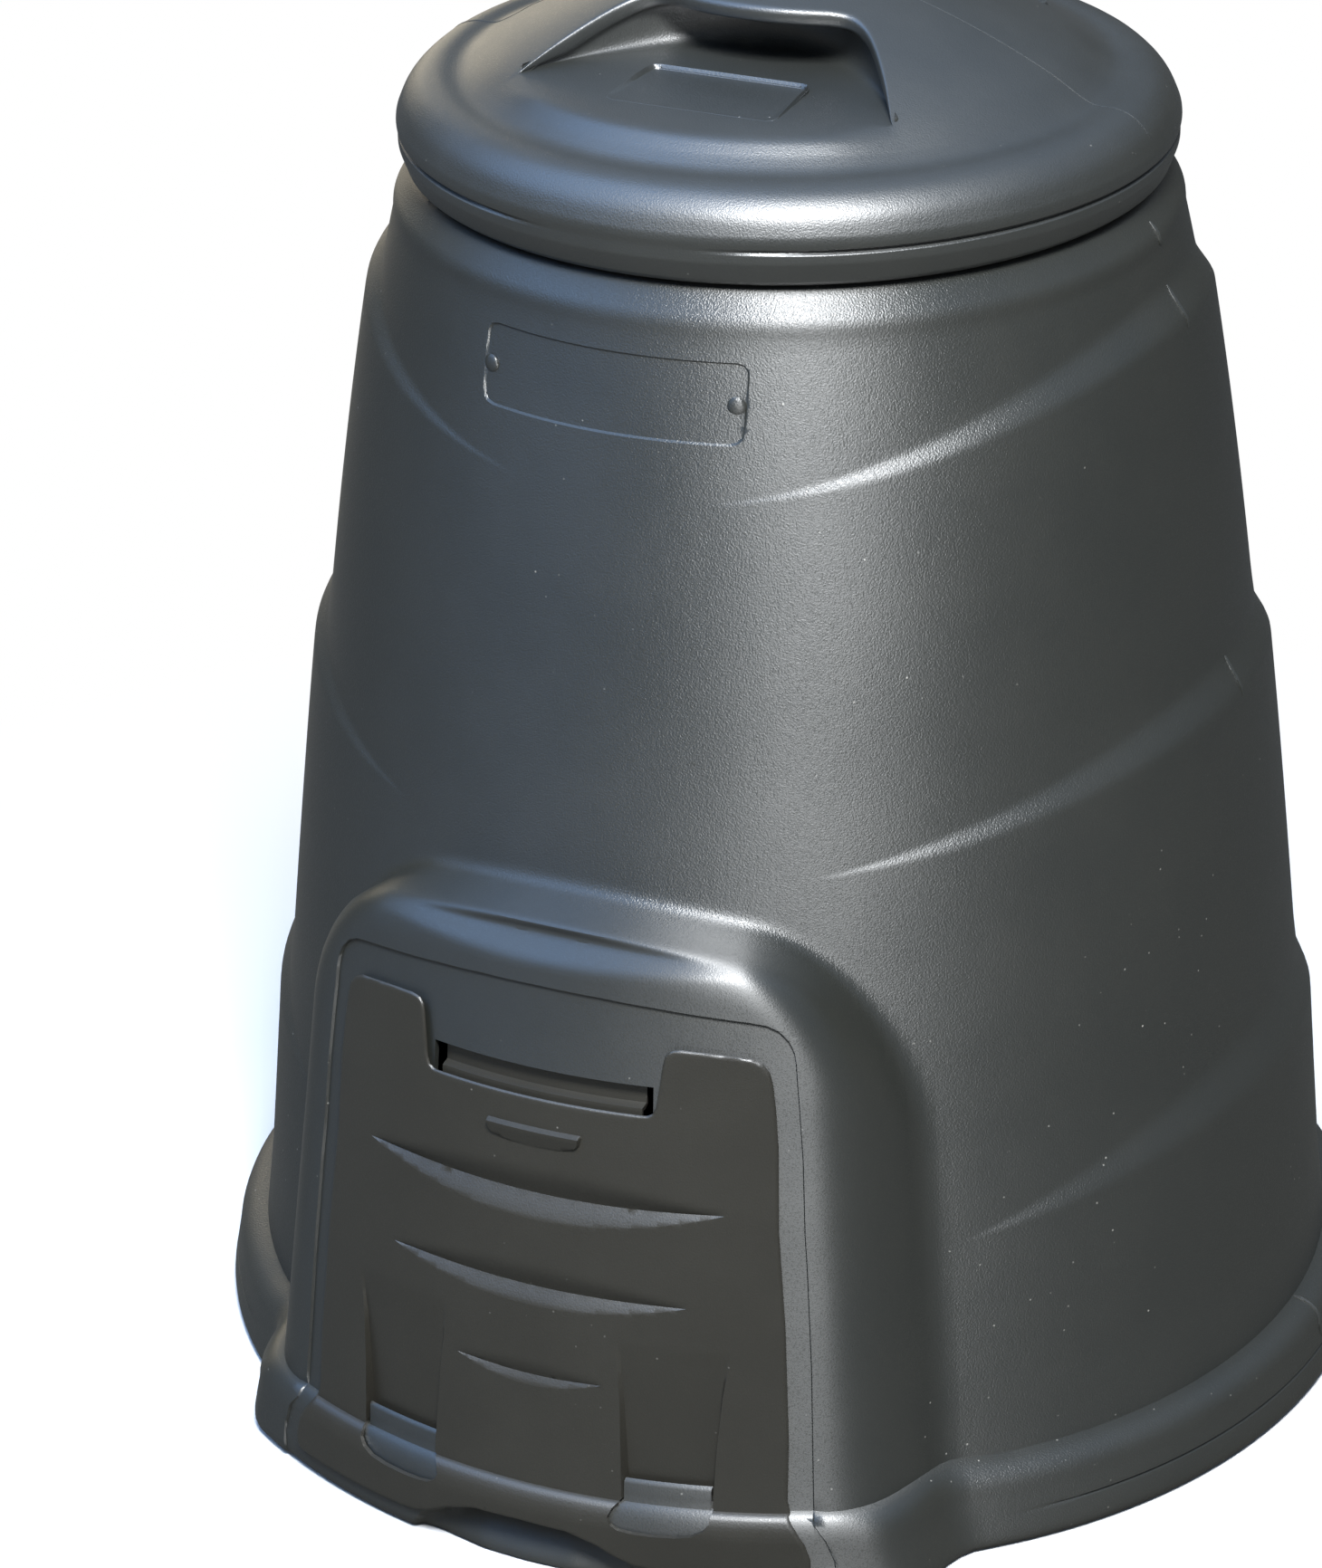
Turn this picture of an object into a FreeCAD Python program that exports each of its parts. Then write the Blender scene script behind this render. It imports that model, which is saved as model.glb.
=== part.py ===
"""A moulded garden compost bin with a loose lid and a sliding hatch door.

The bin stands on the ground plane z = 0 and is drawn round the Z axis, with the hatch facing -Y. The mould
parts along the plane y = 0, so both halves of the body and of the lid are drawn along Y and mirror each other.
The hatch side reaches further out than the back, so the finished pieces move a little along +Y: the origin is
the middle of the footprint.
"""
import FreeCAD, Part
import math
import os

V = FreeCAD.Vector
AXIS = V(0, 0, 1)
FRONT = V(0, -1, 0)
ORIGIN = V(0, 0, 0)

# Driving sizes, in millimetres and degrees.
SIZES = [
    ("wall", 4.0, "thickness of the body's wall"),
    ("foot_radius", 375.0, "edge of the rolled foot on the ground"),
    ("foot_edge", 3.0, "height of the foot's upright edge"),
    ("foot_groove_radius", 371.0, "foot above its groove"),
    ("foot_groove_level", 22.0, "height of the foot's groove"),
    ("foot_roll_radius", 367.5, "foot where it starts to turn in"),
    ("foot_roll_level", 42.0, "height where the foot turns in"),
    ("foot_joint_radius", 355.0, "foot where it meets the wall's flare"),
    ("foot_joint_level", 53.0, "height where the foot meets the flare"),
    ("wall_foot_level", 58.5, "height where the plain wall starts"),
    ("wall_foot_radius", 349.7, "plain wall at its foot"),
    ("wall_low_level", 262.0, "first shaping level of the wall"),
    ("wall_low_radius", 322.8, "wall at its first shaping level"),
    ("wall_high_level", 500.0, "second shaping level of the wall"),
    ("wall_high_radius", 288.5, "wall at its second shaping level"),
    ("wall_top_level", 748.0, "height where the shoulder starts"),
    ("wall_top_radius", 241.0, "wall where the shoulder starts"),
    ("ledge_fade_level", 100.0, "height where the lowest ledge has faded"),
    ("low_ledge_angle", 43.0, "angle from the front where the lowest ledge ends"),
    ("low_ledge_end", 198.0, "height of the lowest ledge's end"),
    ("low_ledge_crest", 241.0, "height of the lowest ledge's middle at the side"),
    ("low_ledge_width", 28.0, "height of the lowest ledge's slope at the side"),
    ("low_ledge_step", 8.5, "step of the lowest ledge"),
    ("middle_ledge_angle", 27.0, "angle from the front where the middle ledge ends"),
    ("middle_ledge_end", 434.0, "height of the middle ledge's end"),
    ("middle_ledge_crest", 483.5, "height of the middle ledge's middle at the side"),
    ("middle_ledge_width", 20.0, "height of the middle ledge's slope at the side"),
    ("middle_ledge_step", 9.0, "step of the middle ledge"),
    ("top_ledge_angle", 13.7, "angle from the front where the top ledge ends"),
    ("top_ledge_end", 654.0, "height of the top ledge's end"),
    ("top_ledge_crest", 718.0, "height of the top ledge's middle at the side"),
    ("top_ledge_width", 19.0, "height of the top ledge's slope at the side"),
    ("top_ledge_step", 9.5, "step of the top ledge"),
    ("shoulder_radius", 239.0, "shoulder where its roll starts"),
    ("shoulder_level", 757.0, "height where the shoulder's roll starts"),
    ("shoulder_roll", 18.0, "radius of the shoulder's roll"),
    ("neck_radius", 215.0, "outside of the neck under the lid"),
    ("neck_foot_level", 777.5, "height where the neck leaves the shoulder"),
    ("neck_top_level", 822.0, "top of the neck, which carries the lid"),
    ("label_half_width", 81.0, "half width of the bare plate on the front"),
    ("label_low", 690.0, "lower edge of the bare plate"),
    ("label_high", 736.0, "upper edge of the bare plate"),
    ("label_corner", 8.0, "corner radius of the bare plate"),
    ("label_depth", 1.0, "depth of the bare plate"),
    ("face_radius", 405.5, "door's face carried down to the ground"),
    ("face_lean", 6.47, "lean of the door and of its surround"),
    ("door_proud", 3.0, "how far the door stands out of its surround"),
    ("rebate_depth", 4.0, "depth of the rebate that the door lies in"),
    ("surround_top", 412.0, "height of the surround's arch at its middle"),
    ("surround_shoulder_x", 100.0, "half width where the arch turns down"),
    ("surround_shoulder_z", 402.0, "height where the arch turns down"),
    ("surround_corner_x", 150.0, "half width at the surround's upper corner"),
    ("surround_corner_z", 368.0, "height of the surround's upper corner"),
    ("surround_side_x", 172.0, "half width under the surround's upper corner"),
    ("surround_side_z", 290.0, "height under the surround's upper corner"),
    ("surround_foot_x", 200.0, "half width of the surround at its foot"),
    ("front_foot_behind", 0.5, "front foot on the ground behind the door's face carried down"),
    ("front_foot_taper", 9.0, "how much the front foot narrows by its top"),
    ("front_foot_half_width", 237.0, "half width of the front foot"),
    ("front_foot_corner", 26.0, "plan corner of the front foot"),
    ("scoop_half_width", 70.0, "half width of the finger scoop under the door"),
    ("scoop_height", 35.0, "height of the finger scoop under the door"),
    ("scoop_side_height", 17.5, "height of the finger scoop at its sides"),
    ("scoop_depth", 14.0, "depth of the finger scoop under the door"),
    ("rebate_foot_x", 173.7, "half width of the rebate at its foot"),
    ("rebate_side_x", 153.0, "half width of the rebate under its corner"),
    ("rebate_side_z", 340.0, "height where the rebate's corner starts"),
    ("rebate_corner_x", 146.0, "half width at the rebate's corner"),
    ("rebate_corner_z", 362.0, "height of the rebate's corner"),
    ("rebate_shoulder_x", 130.0, "half width where the rebate's top starts"),
    ("rebate_shoulder_z", 371.0, "height where the rebate's top starts"),
    ("rebate_top", 380.0, "height of the rebate's top at its middle"),
    ("ledge_seat", 11.0, "width of the ledge that the door rests on"),
    ("opening_top", 300.0, "height of the hatch opening at its sides"),
    ("panel_half_width", 70.0, "half width of the hanging tab"),
    ("panel_low", 326.5, "lower edge of the hanging tab"),
    ("panel_drop", 2.0, "hanging tab's face behind the surround's face"),
    ("tongue_near", 64.0, "inner side of each tongue"),
    ("tongue_far", 116.0, "outer side of each tongue"),
    ("tongue_top", 72.0, "top of the two tongues"),
    ("tongue_thickness", 3.0, "thickness of the two tongues"),
    ("seat_gap", 0.3, "clearance where a loose piece rests"),
    ("door_foot_x", 160.5, "half width of the door at its foot"),
    ("door_side_x", 142.8, "half width of the door at its tabs"),
    ("door_side_z", 318.0, "height of the door's side where its tabs start"),
    ("tab_outer_x", 137.0, "half width over the door's tabs"),
    ("tab_top", 353.0, "top of the door's tabs"),
    ("tab_corner", 10.0, "outer corner radius of the tabs"),
    ("notch_gap", 3.0, "side clearance between tabs and hanging tab"),
    ("finger_slot", 17.0, "height of the slot under the hanging tab"),
    ("door_wall", 4.0, "thickness of the lip"),
    ("lip_half_width", 66.0, "half width of the lip behind the hanging tab"),
    ("lip_foot", 292.0, "height where the lip leaves the door"),
    ("lip_web", 12.0, "height of the lip's root"),
    ("lip_top", 342.0, "top of the lip"),
    ("wrap_low", 17.5, "lower edge of the door's foot"),
    ("wrap_thickness", 3.0, "thickness of the door's foot"),
    ("wrap_low_x", 176.0, "half width of the door's foot"),
    ("wrap_low_z", 30.0, "height where the door's foot starts to narrow"),
    ("wrap_high_x", 158.0, "half width of the top of the door's foot"),
    ("wrap_high_z", 66.0, "height of the top of the door's foot"),
    ("channel_top", 160.0, "height where the channels fade out"),
    ("channel_gap", 4.0, "clearance beside a tongue in its channel"),
    ("channel_floor_behind", 15.3, "channel floor at the foot behind the door's face carried down"),
    ("channel_wall", 3.0, "wall round the channels"),
    ("cutout_low", 42.0, "lower edge of the cut-outs in the door's foot"),
    ("catch_half_width", 29.5, "half width of the small grip recess"),
    ("catch_low", 280.0, "lower edge of the small grip recess"),
    ("catch_high", 290.0, "upper edge of the small grip recess"),
    ("catch_depth", 2.0, "depth of the small grip recess"),
    ("louvre_depth", 4.0, "how deep the crescent louvres sink"),
    ("top_louvre_half", 116.5, "half length of the top louvre"),
    ("top_louvre_level", 250.4, "height of the top louvre's ends"),
    ("top_louvre_upper", 245.0, "height of the top louvre's upper edge at its middle"),
    ("top_louvre_lower", 233.0, "height of the top louvre's lower edge at its middle"),
    ("middle_louvre_half", 96.5, "half length of the middle louvre"),
    ("middle_louvre_level", 189.0, "height of the middle louvre's ends"),
    ("middle_louvre_upper", 186.0, "height of the middle louvre's upper edge"),
    ("middle_louvre_lower", 177.0, "height of the middle louvre's lower edge"),
    ("low_louvre_half", 47.5, "half length of the low louvre"),
    ("low_louvre_level", 132.0, "height of the low louvre's ends"),
    ("low_louvre_upper", 129.5, "height of the low louvre's upper edge"),
    ("low_louvre_lower", 125.0, "height of the low louvre's lower edge"),
    ("lid_wall", 4.0, "thickness of the lid"),
    ("lid_rim_level", 778.0, "lower edge of the lid"),
    ("lid_roll_radius", 236.5, "largest radius of the lid's two rolls"),
    ("lid_low_roll_level", 788.5, "height of the lid's lower roll"),
    ("lid_groove_radius", 233.0, "lid at the groove between its rolls"),
    ("lid_groove_level", 800.0, "height of the groove"),
    ("lid_high_roll_level", 808.0, "height of the lid's upper roll"),
    ("lid_edge_radius", 229.5, "lid where its upper roll turns in"),
    ("lid_edge_level", 822.5, "height where the upper roll turns in"),
    ("lid_crest_radius", 212.0, "top of the upper roll"),
    ("lid_crest_level", 831.0, "height of the top of the upper roll"),
    ("cone_foot_radius", 192.0, "foot of the lid's cone"),
    ("cone_foot_level", 836.0, "height of the cone's foot"),
    ("cone_middle_radius", 100.0, "cone half way up"),
    ("cone_middle_level", 878.0, "height of the cone half way up"),
    ("lid_top_level", 900.0, "top of the lid"),
    ("plug_gap", 3.0, "clearance between the lid's locating ring and the neck"),
    ("plug_drop", 22.0, "height of the lid's locating ring"),
    ("grip_floor", 848.0, "floor of the hand scoops"),
    ("grip_half_width", 130.0, "half width of the hand scoops at their floor"),
    ("grip_shoulder_x", 88.0, "half width where the scoops' arch turns down"),
    ("grip_shoulder_z", 878.0, "height where the scoops' arch turns down"),
    ("grip_top", 886.0, "top of the scoops' arch"),
    ("grip_back", 16.0, "distance of the scoops' deepest point from the axis"),
    ("grip_corner_y", 113.0, "distance of the scoops' corners from the mid plane"),
    ("plate_half_width", 55.0, "half width of the bare plate in the scoops"),
    ("plate_near", 80.0, "inner edge of the bare plate in the scoops"),
    ("plate_far", 142.0, "outer edge of the bare plate in the scoops"),
    ("plate_height", 1.2, "height of the bare plate in the scoops"),
    ("round_parts", 48.0, "points on each wall section"),
]

doc = FreeCAD.newDocument("compost_bin")
sheet = doc.addObject("Spreadsheet::Sheet", "Sizes")
for row, (alias, value, meaning) in enumerate(SIZES, start=1):
    sheet.set(f"A{row}", meaning)
    sheet.set(f"B{row}", str(value))
    sheet.setAlias(f"B{row}", alias)
doc.recompute()


def size(alias):
    """The value of one sheet cell."""
    return float(sheet.get(alias))


def formed(name, shape):
    """A shape made from sheet values with Part's own functions."""
    item = doc.addObject("Part::Feature", name)
    item.Shape = shape
    return item


def cone(name, low, high, tall, level="0"):
    """A frustum on the bin's axis; its sizes are sheet expressions."""
    item = doc.addObject("Part::Cone", name)
    item.setExpression("Radius1", low)
    item.setExpression("Radius2", high)
    item.setExpression("Height", tall)
    item.setExpression("Placement.Base.z", level)
    return item


def box(name, wide, deep, tall, place):
    """A block with its corner at place; sizes and place are sheet expressions."""
    item = doc.addObject("Part::Box", name)
    item.setExpression("Length", wide)
    item.setExpression("Width", deep)
    item.setExpression("Height", tall)
    for axis, expression in zip("xyz", place):
        item.setExpression(f"Placement.Base.{axis}", expression)
    return item


def prism(name, face, direction, reach):
    """A face drawn out by a sheet expression."""
    item = doc.addObject("Part::Extrusion", name)
    item.Base = formed(f"{name}_outline", face)
    item.DirMode = "Custom"
    item.Dir = direction
    item.setExpression("LengthFwd", reach)
    item.Solid = True
    return item


def turned(name, wire):
    """A closed half section turned once round the bin's axis."""
    item = doc.addObject("Part::Revolution", name)
    item.Source = formed(f"{name}_section", Part.Face(wire))
    item.Axis = AXIS
    item.Base = ORIGIN
    item.Angle = 360
    item.Solid = True
    return item


def cut(name, base, tool):
    item = doc.addObject("Part::Cut", name)
    item.Base = base
    item.Tool = tool
    item.Refine = False
    return item


def fuse(name, *shapes):
    item = doc.addObject("Part::MultiFuse", name)
    item.Shapes = list(shapes)
    item.Refine = False
    return item


def common(name, *shapes):
    item = doc.addObject("Part::MultiCommon", name)
    item.Shapes = list(shapes)
    item.Refine = False
    return item


def mirrored(name, source, normal):
    item = doc.addObject("Part::Mirroring", name)
    item.Source = source
    item.Base = ORIGIN
    item.Normal = normal
    return item


def at(radius, level):
    """A point of a half section, in the XZ plane."""
    return V(radius, 0, level)


def line(first, last):
    return Part.makeLine(first, last)


def arc(first, middle, last):
    return Part.Arc(first, middle, last).toShape()


def polygon(*points):
    return Part.makePolygon([*points, points[0]])


def symmetric_outline(right):
    """A closed XZ outline from edges given on the right side, from the foot up to the middle."""
    left = [edge.mirror(ORIGIN, V(1, 0, 0)) for edge in right]
    ends = [vertex.Point for edge in right for vertex in edge.Vertexes]
    foot = min(ends, key=lambda point: (round(point.z, 6), -point.x))
    base = line(V(-foot.x, 0, foot.z), foot)
    edges = Part.__sortEdges__([base, *right, *left])
    return Part.Face(Part.Wire(edges))


REACH = "2 * Sizes.foot_radius"


def wall_radius(level):
    """The plain wall: the smooth curve through its four shaping levels."""
    knots = [(size(f"wall_{part}_level"), size(f"wall_{part}_radius")) for part in ("foot", "low", "high", "top")]
    total = 0.0
    for place, radius in knots:
        weight = 1.0
        for other, _ in knots:
            if other != place:
                weight *= (level - other) / (place - other)
        total += weight * radius
    return total


def ledge_growth(name, angle):
    """0 where a ledge ends, 1 at the mould's parting plane, below 0 past its end."""
    end = math.cos(math.radians(size(f"{name}_ledge_angle")))
    return 1.0 - (math.cos(angle) / end) ** 2


def ledge_section(name, side, inset):
    """One closed curve along a ledge's upper (side 1) or lower (side -1) edge."""
    count = int(size("round_parts"))
    points = []
    for step in range(count):
        angle = 2.0 * math.pi * step / count + math.pi
        growth = ledge_growth(name, angle)
        shown = max(growth, 0.0)
        rise = size(f"{name}_ledge_crest") - size(f"{name}_ledge_end")
        level = size(f"{name}_ledge_end") + rise * growth
        level += side * (0.5 + 0.5 * size(f"{name}_ledge_width") * shown)
        radius = wall_radius(level) - inset
        if side < 0:
            radius += size(f"{name}_ledge_step") * shown
        points.append(V(radius * math.sin(angle), -radius * math.cos(angle), level))
    curve = Part.BSplineCurve()
    knots = [step / count for step in range(count + 1)]
    curve.interpolate(Points=points, PeriodicFlag=True, Parameters=knots)
    return Part.Wire(curve.toShape())


def round_section(level, inset):
    """A true circle on the plain wall, with its seam at the back."""
    circle = Part.makeCircle(wall_radius(level) - inset, V(0, 0, level), AXIS)
    circle.rotate(V(0, 0, level), AXIS, 90)
    return Part.Wire(circle)


def wall_solid(inset):
    """The wall with its three ledges, drawn as ruled stretches between its sections."""
    between = lambda lower, upper: 0.5 * (size(f"{lower}_ledge_crest") + size(f"{upper}_ledge_end"))
    sections = [round_section(size("wall_foot_level"), inset), round_section(size("ledge_fade_level"), inset)]
    sections += [ledge_section("low", side, inset) for side in (-1, 1)]
    sections.append(round_section(between("low", "middle"), inset))
    sections += [ledge_section("middle", side, inset) for side in (-1, 1)]
    sections.append(round_section(between("middle", "top"), inset))
    sections += [ledge_section("top", side, inset) for side in (-1, 1)]
    sections.append(round_section(size("wall_top_level"), inset))
    return Part.makeLoft(sections, True, True)


def foot_section(inset, ground):
    """Half section of the rolled foot, down to the level ground."""
    top = size("wall_foot_level")
    groove = at(size("foot_groove_radius") - inset, size("foot_groove_level"))
    roll = at(size("foot_roll_radius") - inset, size("foot_roll_level"))
    joint = at(size("foot_joint_radius") - inset, size("foot_joint_level"))
    turn = at(0.45 * roll.x + 0.55 * joint.x + 1.5, 0.35 * roll.z + 0.65 * joint.z)
    edge = at(size("foot_radius") - inset, size("foot_edge"))
    low = at(edge.x, ground)
    wall_end = at(wall_radius(top) - inset, top)
    edges = [line(at(0, ground), low), line(low, edge), line(edge, groove), line(groove, roll)]
    edges += [arc(roll, turn, joint), line(joint, wall_end), line(wall_end, at(0, top)), line(at(0, top), at(0, ground))]
    return Part.Wire(edges)


def shoulder_section(inset, top):
    """Half section of the shoulder and neck, up to the level top."""
    low = size("wall_top_level")
    roll = size("shoulder_roll")
    start = at(size("shoulder_radius") - inset, size("shoulder_level"))
    crown = at(start.x - roll, size("neck_foot_level") - 1.5 - inset)
    middle = at(start.x - 0.29 * roll, start.z + 0.74 * (crown.z - start.z))
    root = at(size("neck_radius") - inset, size("neck_foot_level") - inset)
    brim = at(root.x, top)
    foot = at(wall_radius(low) - inset, low)
    edges = [line(at(0, low), foot), line(foot, start), arc(start, middle, crown), line(crown, root)]
    edges += [line(root, brim), line(brim, at(0, top)), line(at(0, top), at(0, low))]
    return Part.Wire(edges)


def core_solid(inset, ground, top):
    """Foot, wall, shoulder and neck as one closed solid, sewn where their circles meet."""
    foot = Part.Face(foot_section(inset, ground)).revolve(ORIGIN, AXIS, 360)
    shoulder = Part.Face(shoulder_section(inset, top)).revolve(ORIGIN, AXIS, 360)
    shared = size("wall_foot_level"), size("wall_top_level")
    faces = []
    for piece in (foot, wall_solid(inset), shoulder):
        for face in piece.Faces:
            bounds = face.BoundBox
            flat = bounds.ZLength < 0.001
            if not (flat and any(abs(bounds.ZMin - level) < 0.01 for level in shared)):
                faces.append(face)
    shell = Part.Shell(faces)
    shell.sewShape()
    return Part.Solid(shell)


def surround_outline(inset):
    """Front view of the hatch surround; its foot runs down behind the front foot."""
    foot = V(size("surround_foot_x"), 0, 0.5 * size("wall_foot_level"))
    side = V(size("surround_side_x"), 0, size("surround_side_z"))
    corner = V(size("surround_corner_x"), 0, size("surround_corner_z"))
    shoulder = V(size("surround_shoulder_x"), 0, size("surround_shoulder_z"))
    crown = V(0, 0, size("surround_top"))
    right = [line(foot, side), arc(side, corner, shoulder), line(shoulder, crown)]
    return rounded(symmetric_outline(right), inset)


def rounded(face, inset):
    """A face drawn in by inset all round, or as it is."""
    if inset == 0:
        return face
    return face.makeOffset2D(-inset)


def face_cone(name, behind):
    """A leaning cone that lies a given expression behind the door's face."""
    tall = "Sizes.surround_top + Sizes.ledge_seat"
    low = f"Sizes.face_radius - ({behind})"
    return cone(name, low, f"{low} - ({tall}) * tan(Sizes.face_lean * 1 deg)", tall)


def face_radius(level):
    """Radius of the door's face at a level."""
    return size("face_radius") - level * math.tan(math.radians(size("face_lean")))


def front_foot_radius(level):
    """Radius of the front foot at a level."""
    share = level / size("wall_foot_level")
    return face_radius(0) - size("front_foot_behind") - share * size("front_foot_taper")


def face_band(low, high, behind_outer, behind_inner, outer=face_radius):
    """Closed half section between two depths behind a leaning face."""
    corners = [at(outer(low) - behind_outer, low), at(outer(high) - behind_outer, high)]
    corners += [at(outer(high) - behind_inner, high), at(outer(low) - behind_inner, low)]
    return polygon(*corners)


def block_face(near, far, low, high):
    """A plain front view block between two X and two Z values."""
    return Part.Face(polygon(V(near, 0, low), V(far, 0, low), V(far, 0, high), V(near, 0, high)))


def front_foot_plan(inset):
    """Plan view of the front foot with its rounded corners."""
    half = size("front_foot_half_width")
    reach = front_foot_radius(0)
    disc = Part.Face(Part.Wire(Part.makeCircle(reach)))
    back = 0.5 * reach
    strip = Part.makePlane(2 * half, reach, V(-half, -back - reach, 0))
    corner = size("front_foot_corner")
    plan = disc.common(strip).Faces[0].makeOffset2D(-corner)
    return plan.makeOffset2D(corner - inset)


def scoop_outline(grow):
    """Front view of the finger scoop under the door."""
    half = size("scoop_half_width") + grow
    side = V(half, 0, size("scoop_side_height") + grow)
    crown = V(0, 0, size("scoop_height") + grow)
    waist = V(0.72 * half, 0, 0.38 * side.z + 0.62 * crown.z)
    below = V(half, 0, -size("foot_edge"))
    mirror = V(-waist.x, 0, waist.z)
    edges = [line(V(-half, 0, below.z), below), line(below, side), line(side, waist), arc(waist, crown, mirror)]
    edges += [line(mirror, V(-half, 0, side.z)), line(V(-half, 0, side.z), V(-half, 0, below.z))]
    return Part.Face(Part.Wire(edges))


def rebate_outline():
    """Front view of the rebate that the door lies in."""
    foot = V(size("rebate_foot_x"), 0, size("wall_foot_level"))
    side = V(size("rebate_side_x"), 0, size("rebate_side_z"))
    corner = V(size("rebate_corner_x"), 0, size("rebate_corner_z"))
    shoulder = V(size("rebate_shoulder_x"), 0, size("rebate_shoulder_z"))
    crown = V(0, 0, size("rebate_top"))
    top = arc(shoulder, V(0.5 * shoulder.x, 0, 0.25 * shoulder.z + 0.75 * crown.z), crown)
    return symmetric_outline([line(foot, side), arc(side, corner, shoulder), top])


def door_side(level):
    """Half width of the door at a level."""
    foot = size("wall_foot_level")
    share = (level - foot) / (size("door_side_z") - foot)
    return size("door_foot_x") + share * (size("door_side_x") - size("door_foot_x"))


def opening_outline():
    """Front view of the hatch opening inside the ledge that carries the door."""
    low = size("wall_foot_level")
    seat = size("ledge_seat")
    top = size("opening_top")
    inner = size("panel_half_width") + size("notch_gap")
    high = size("panel_low")
    right = [V(door_side(low) - seat, 0, low), V(door_side(top) - seat, 0, top), V(inner, 0, top), V(inner, 0, high)]
    left = [V(-point.x, 0, point.z) for point in reversed(right)]
    return Part.Face(polygon(*right, *left))


def door_outline():
    """Front view of the door with its two tabs and the notch between them."""
    low = size("wall_foot_level") + size("seat_gap")
    notch = size("panel_low") - size("finger_slot")
    inner = size("panel_half_width") + size("notch_gap")
    foot = V(door_side(low), 0, low)
    side = V(size("door_side_x"), 0, size("door_side_z"))
    corner = size("tab_corner")
    tab = V(size("tab_outer_x"), 0, size("tab_top") - corner)
    slant = corner * (1 - math.sqrt(0.5))
    top = V(tab.x - corner, 0, size("tab_top"))
    turn = V(tab.x - slant, 0, size("tab_top") - slant)
    inside = V(inner, 0, size("tab_top"))
    floor = V(inner, 0, notch)
    right = [line(foot, side), line(side, tab), arc(tab, turn, top), line(top, inside), line(inside, floor)]
    right.append(line(floor, V(0, 0, notch)))
    return symmetric_outline(right)


def wrap_outline():
    """Front view of the door's foot, with the finger scoop left out of it."""
    right = [V(size("wrap_low_x"), 0, size("wrap_low")), V(size("wrap_low_x"), 0, size("wrap_low_z"))]
    right.append(V(size("wrap_high_x"), 0, size("wrap_high_z")))
    left = [V(-point.x, 0, point.z) for point in reversed(right)]
    return Part.Face(polygon(*right, *left)).cut(scoop_outline(0)).Faces[0]


def cutout_outline():
    """Front view of one cut-out in the door's foot, round a tongue's root."""
    near = size("tongue_near") - size("channel_gap")
    far = size("tongue_far") + size("channel_gap")
    low = size("cutout_low")
    high = size("wrap_high_z") + size("seat_gap")
    foot = V(near + 0.1 * (far - near), 0, low)
    end = V(far - 0.1 * (far - near), 0, low)
    corners = [foot, end, V(far, 0, low + 8), V(far, 0, high), V(near, 0, high), V(near, 0, low + 8)]
    return Part.Face(polygon(*corners))


def channel_section(offset, outer):
    """Half section of the space over a channel's floor, or of its floor's wall."""
    low = size("wall_foot_level") + size("seat_gap")
    high = size("channel_top")
    foot = face_radius(0) - size("channel_floor_behind")
    head = face_radius(high)
    points = [at(foot - offset, low), at(head - offset, high), at(head + outer, high)]
    points.append(at(foot + outer, low))
    return polygon(*points)


def louvre_outline(name):
    """Front view of one crescent louvre."""
    half = size(f"{name}_louvre_half")
    level = size(f"{name}_louvre_level")
    ends = V(-half, 0, level), V(half, 0, level)
    upper = arc(ends[0], V(0, 0, size(f"{name}_louvre_upper")), ends[1])
    lower = arc(ends[1], V(0, 0, size(f"{name}_louvre_lower")), ends[0])
    return Part.Face(Part.Wire([upper, lower]))


def lid_outer_section():
    """Half section of the lid's outside, closed on the axis."""
    rim = at(size("lid_edge_radius"), size("lid_rim_level"))
    low_roll = at(size("lid_roll_radius"), size("lid_low_roll_level"))
    groove = at(size("lid_groove_radius"), size("lid_groove_level"))
    high_roll = at(size("lid_roll_radius"), size("lid_high_roll_level"))
    edge = at(size("lid_edge_radius"), size("lid_edge_level"))
    crest = at(size("lid_crest_radius"), size("lid_crest_level"))
    foot = at(size("cone_foot_radius"), size("cone_foot_level"))
    middle = at(size("cone_middle_radius"), size("cone_middle_level"))
    top = at(0, size("lid_top_level"))
    edges = [arc(rim, low_roll, groove), arc(groove, high_roll, edge), line(edge, crest), line(crest, foot)]
    edges += [arc(foot, middle, top), line(top, at(0, rim.z)), line(at(0, rim.z), rim)]
    return Part.Wire(edges)


def lid_inner_section():
    """Half section of the hollow under the lid; its flat ring rests on the neck."""
    wall = size("lid_wall")
    seat = size("neck_top_level") + size("seat_gap")
    low = size("lid_rim_level") - wall
    skirt = size("lid_groove_radius") - wall
    inner = size("neck_radius") - size("wall") - size("plug_gap") - wall
    knee = at(skirt, size("lid_high_roll_level"))
    bend = at(size("lid_crest_radius") + 2 * wall, seat)
    foot = at(size("cone_foot_radius") - wall, size("cone_foot_level") - wall)
    middle = at(size("cone_middle_radius"), size("cone_middle_level") - wall)
    top = at(0, size("lid_top_level") - wall)
    edges = [line(at(skirt, low), knee), line(knee, bend), line(bend, at(inner, seat)), line(at(inner, seat), foot)]
    edges += [arc(foot, middle, top), line(top, at(0, low)), line(at(0, low), at(skirt, low))]
    return Part.Wire(edges)


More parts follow.
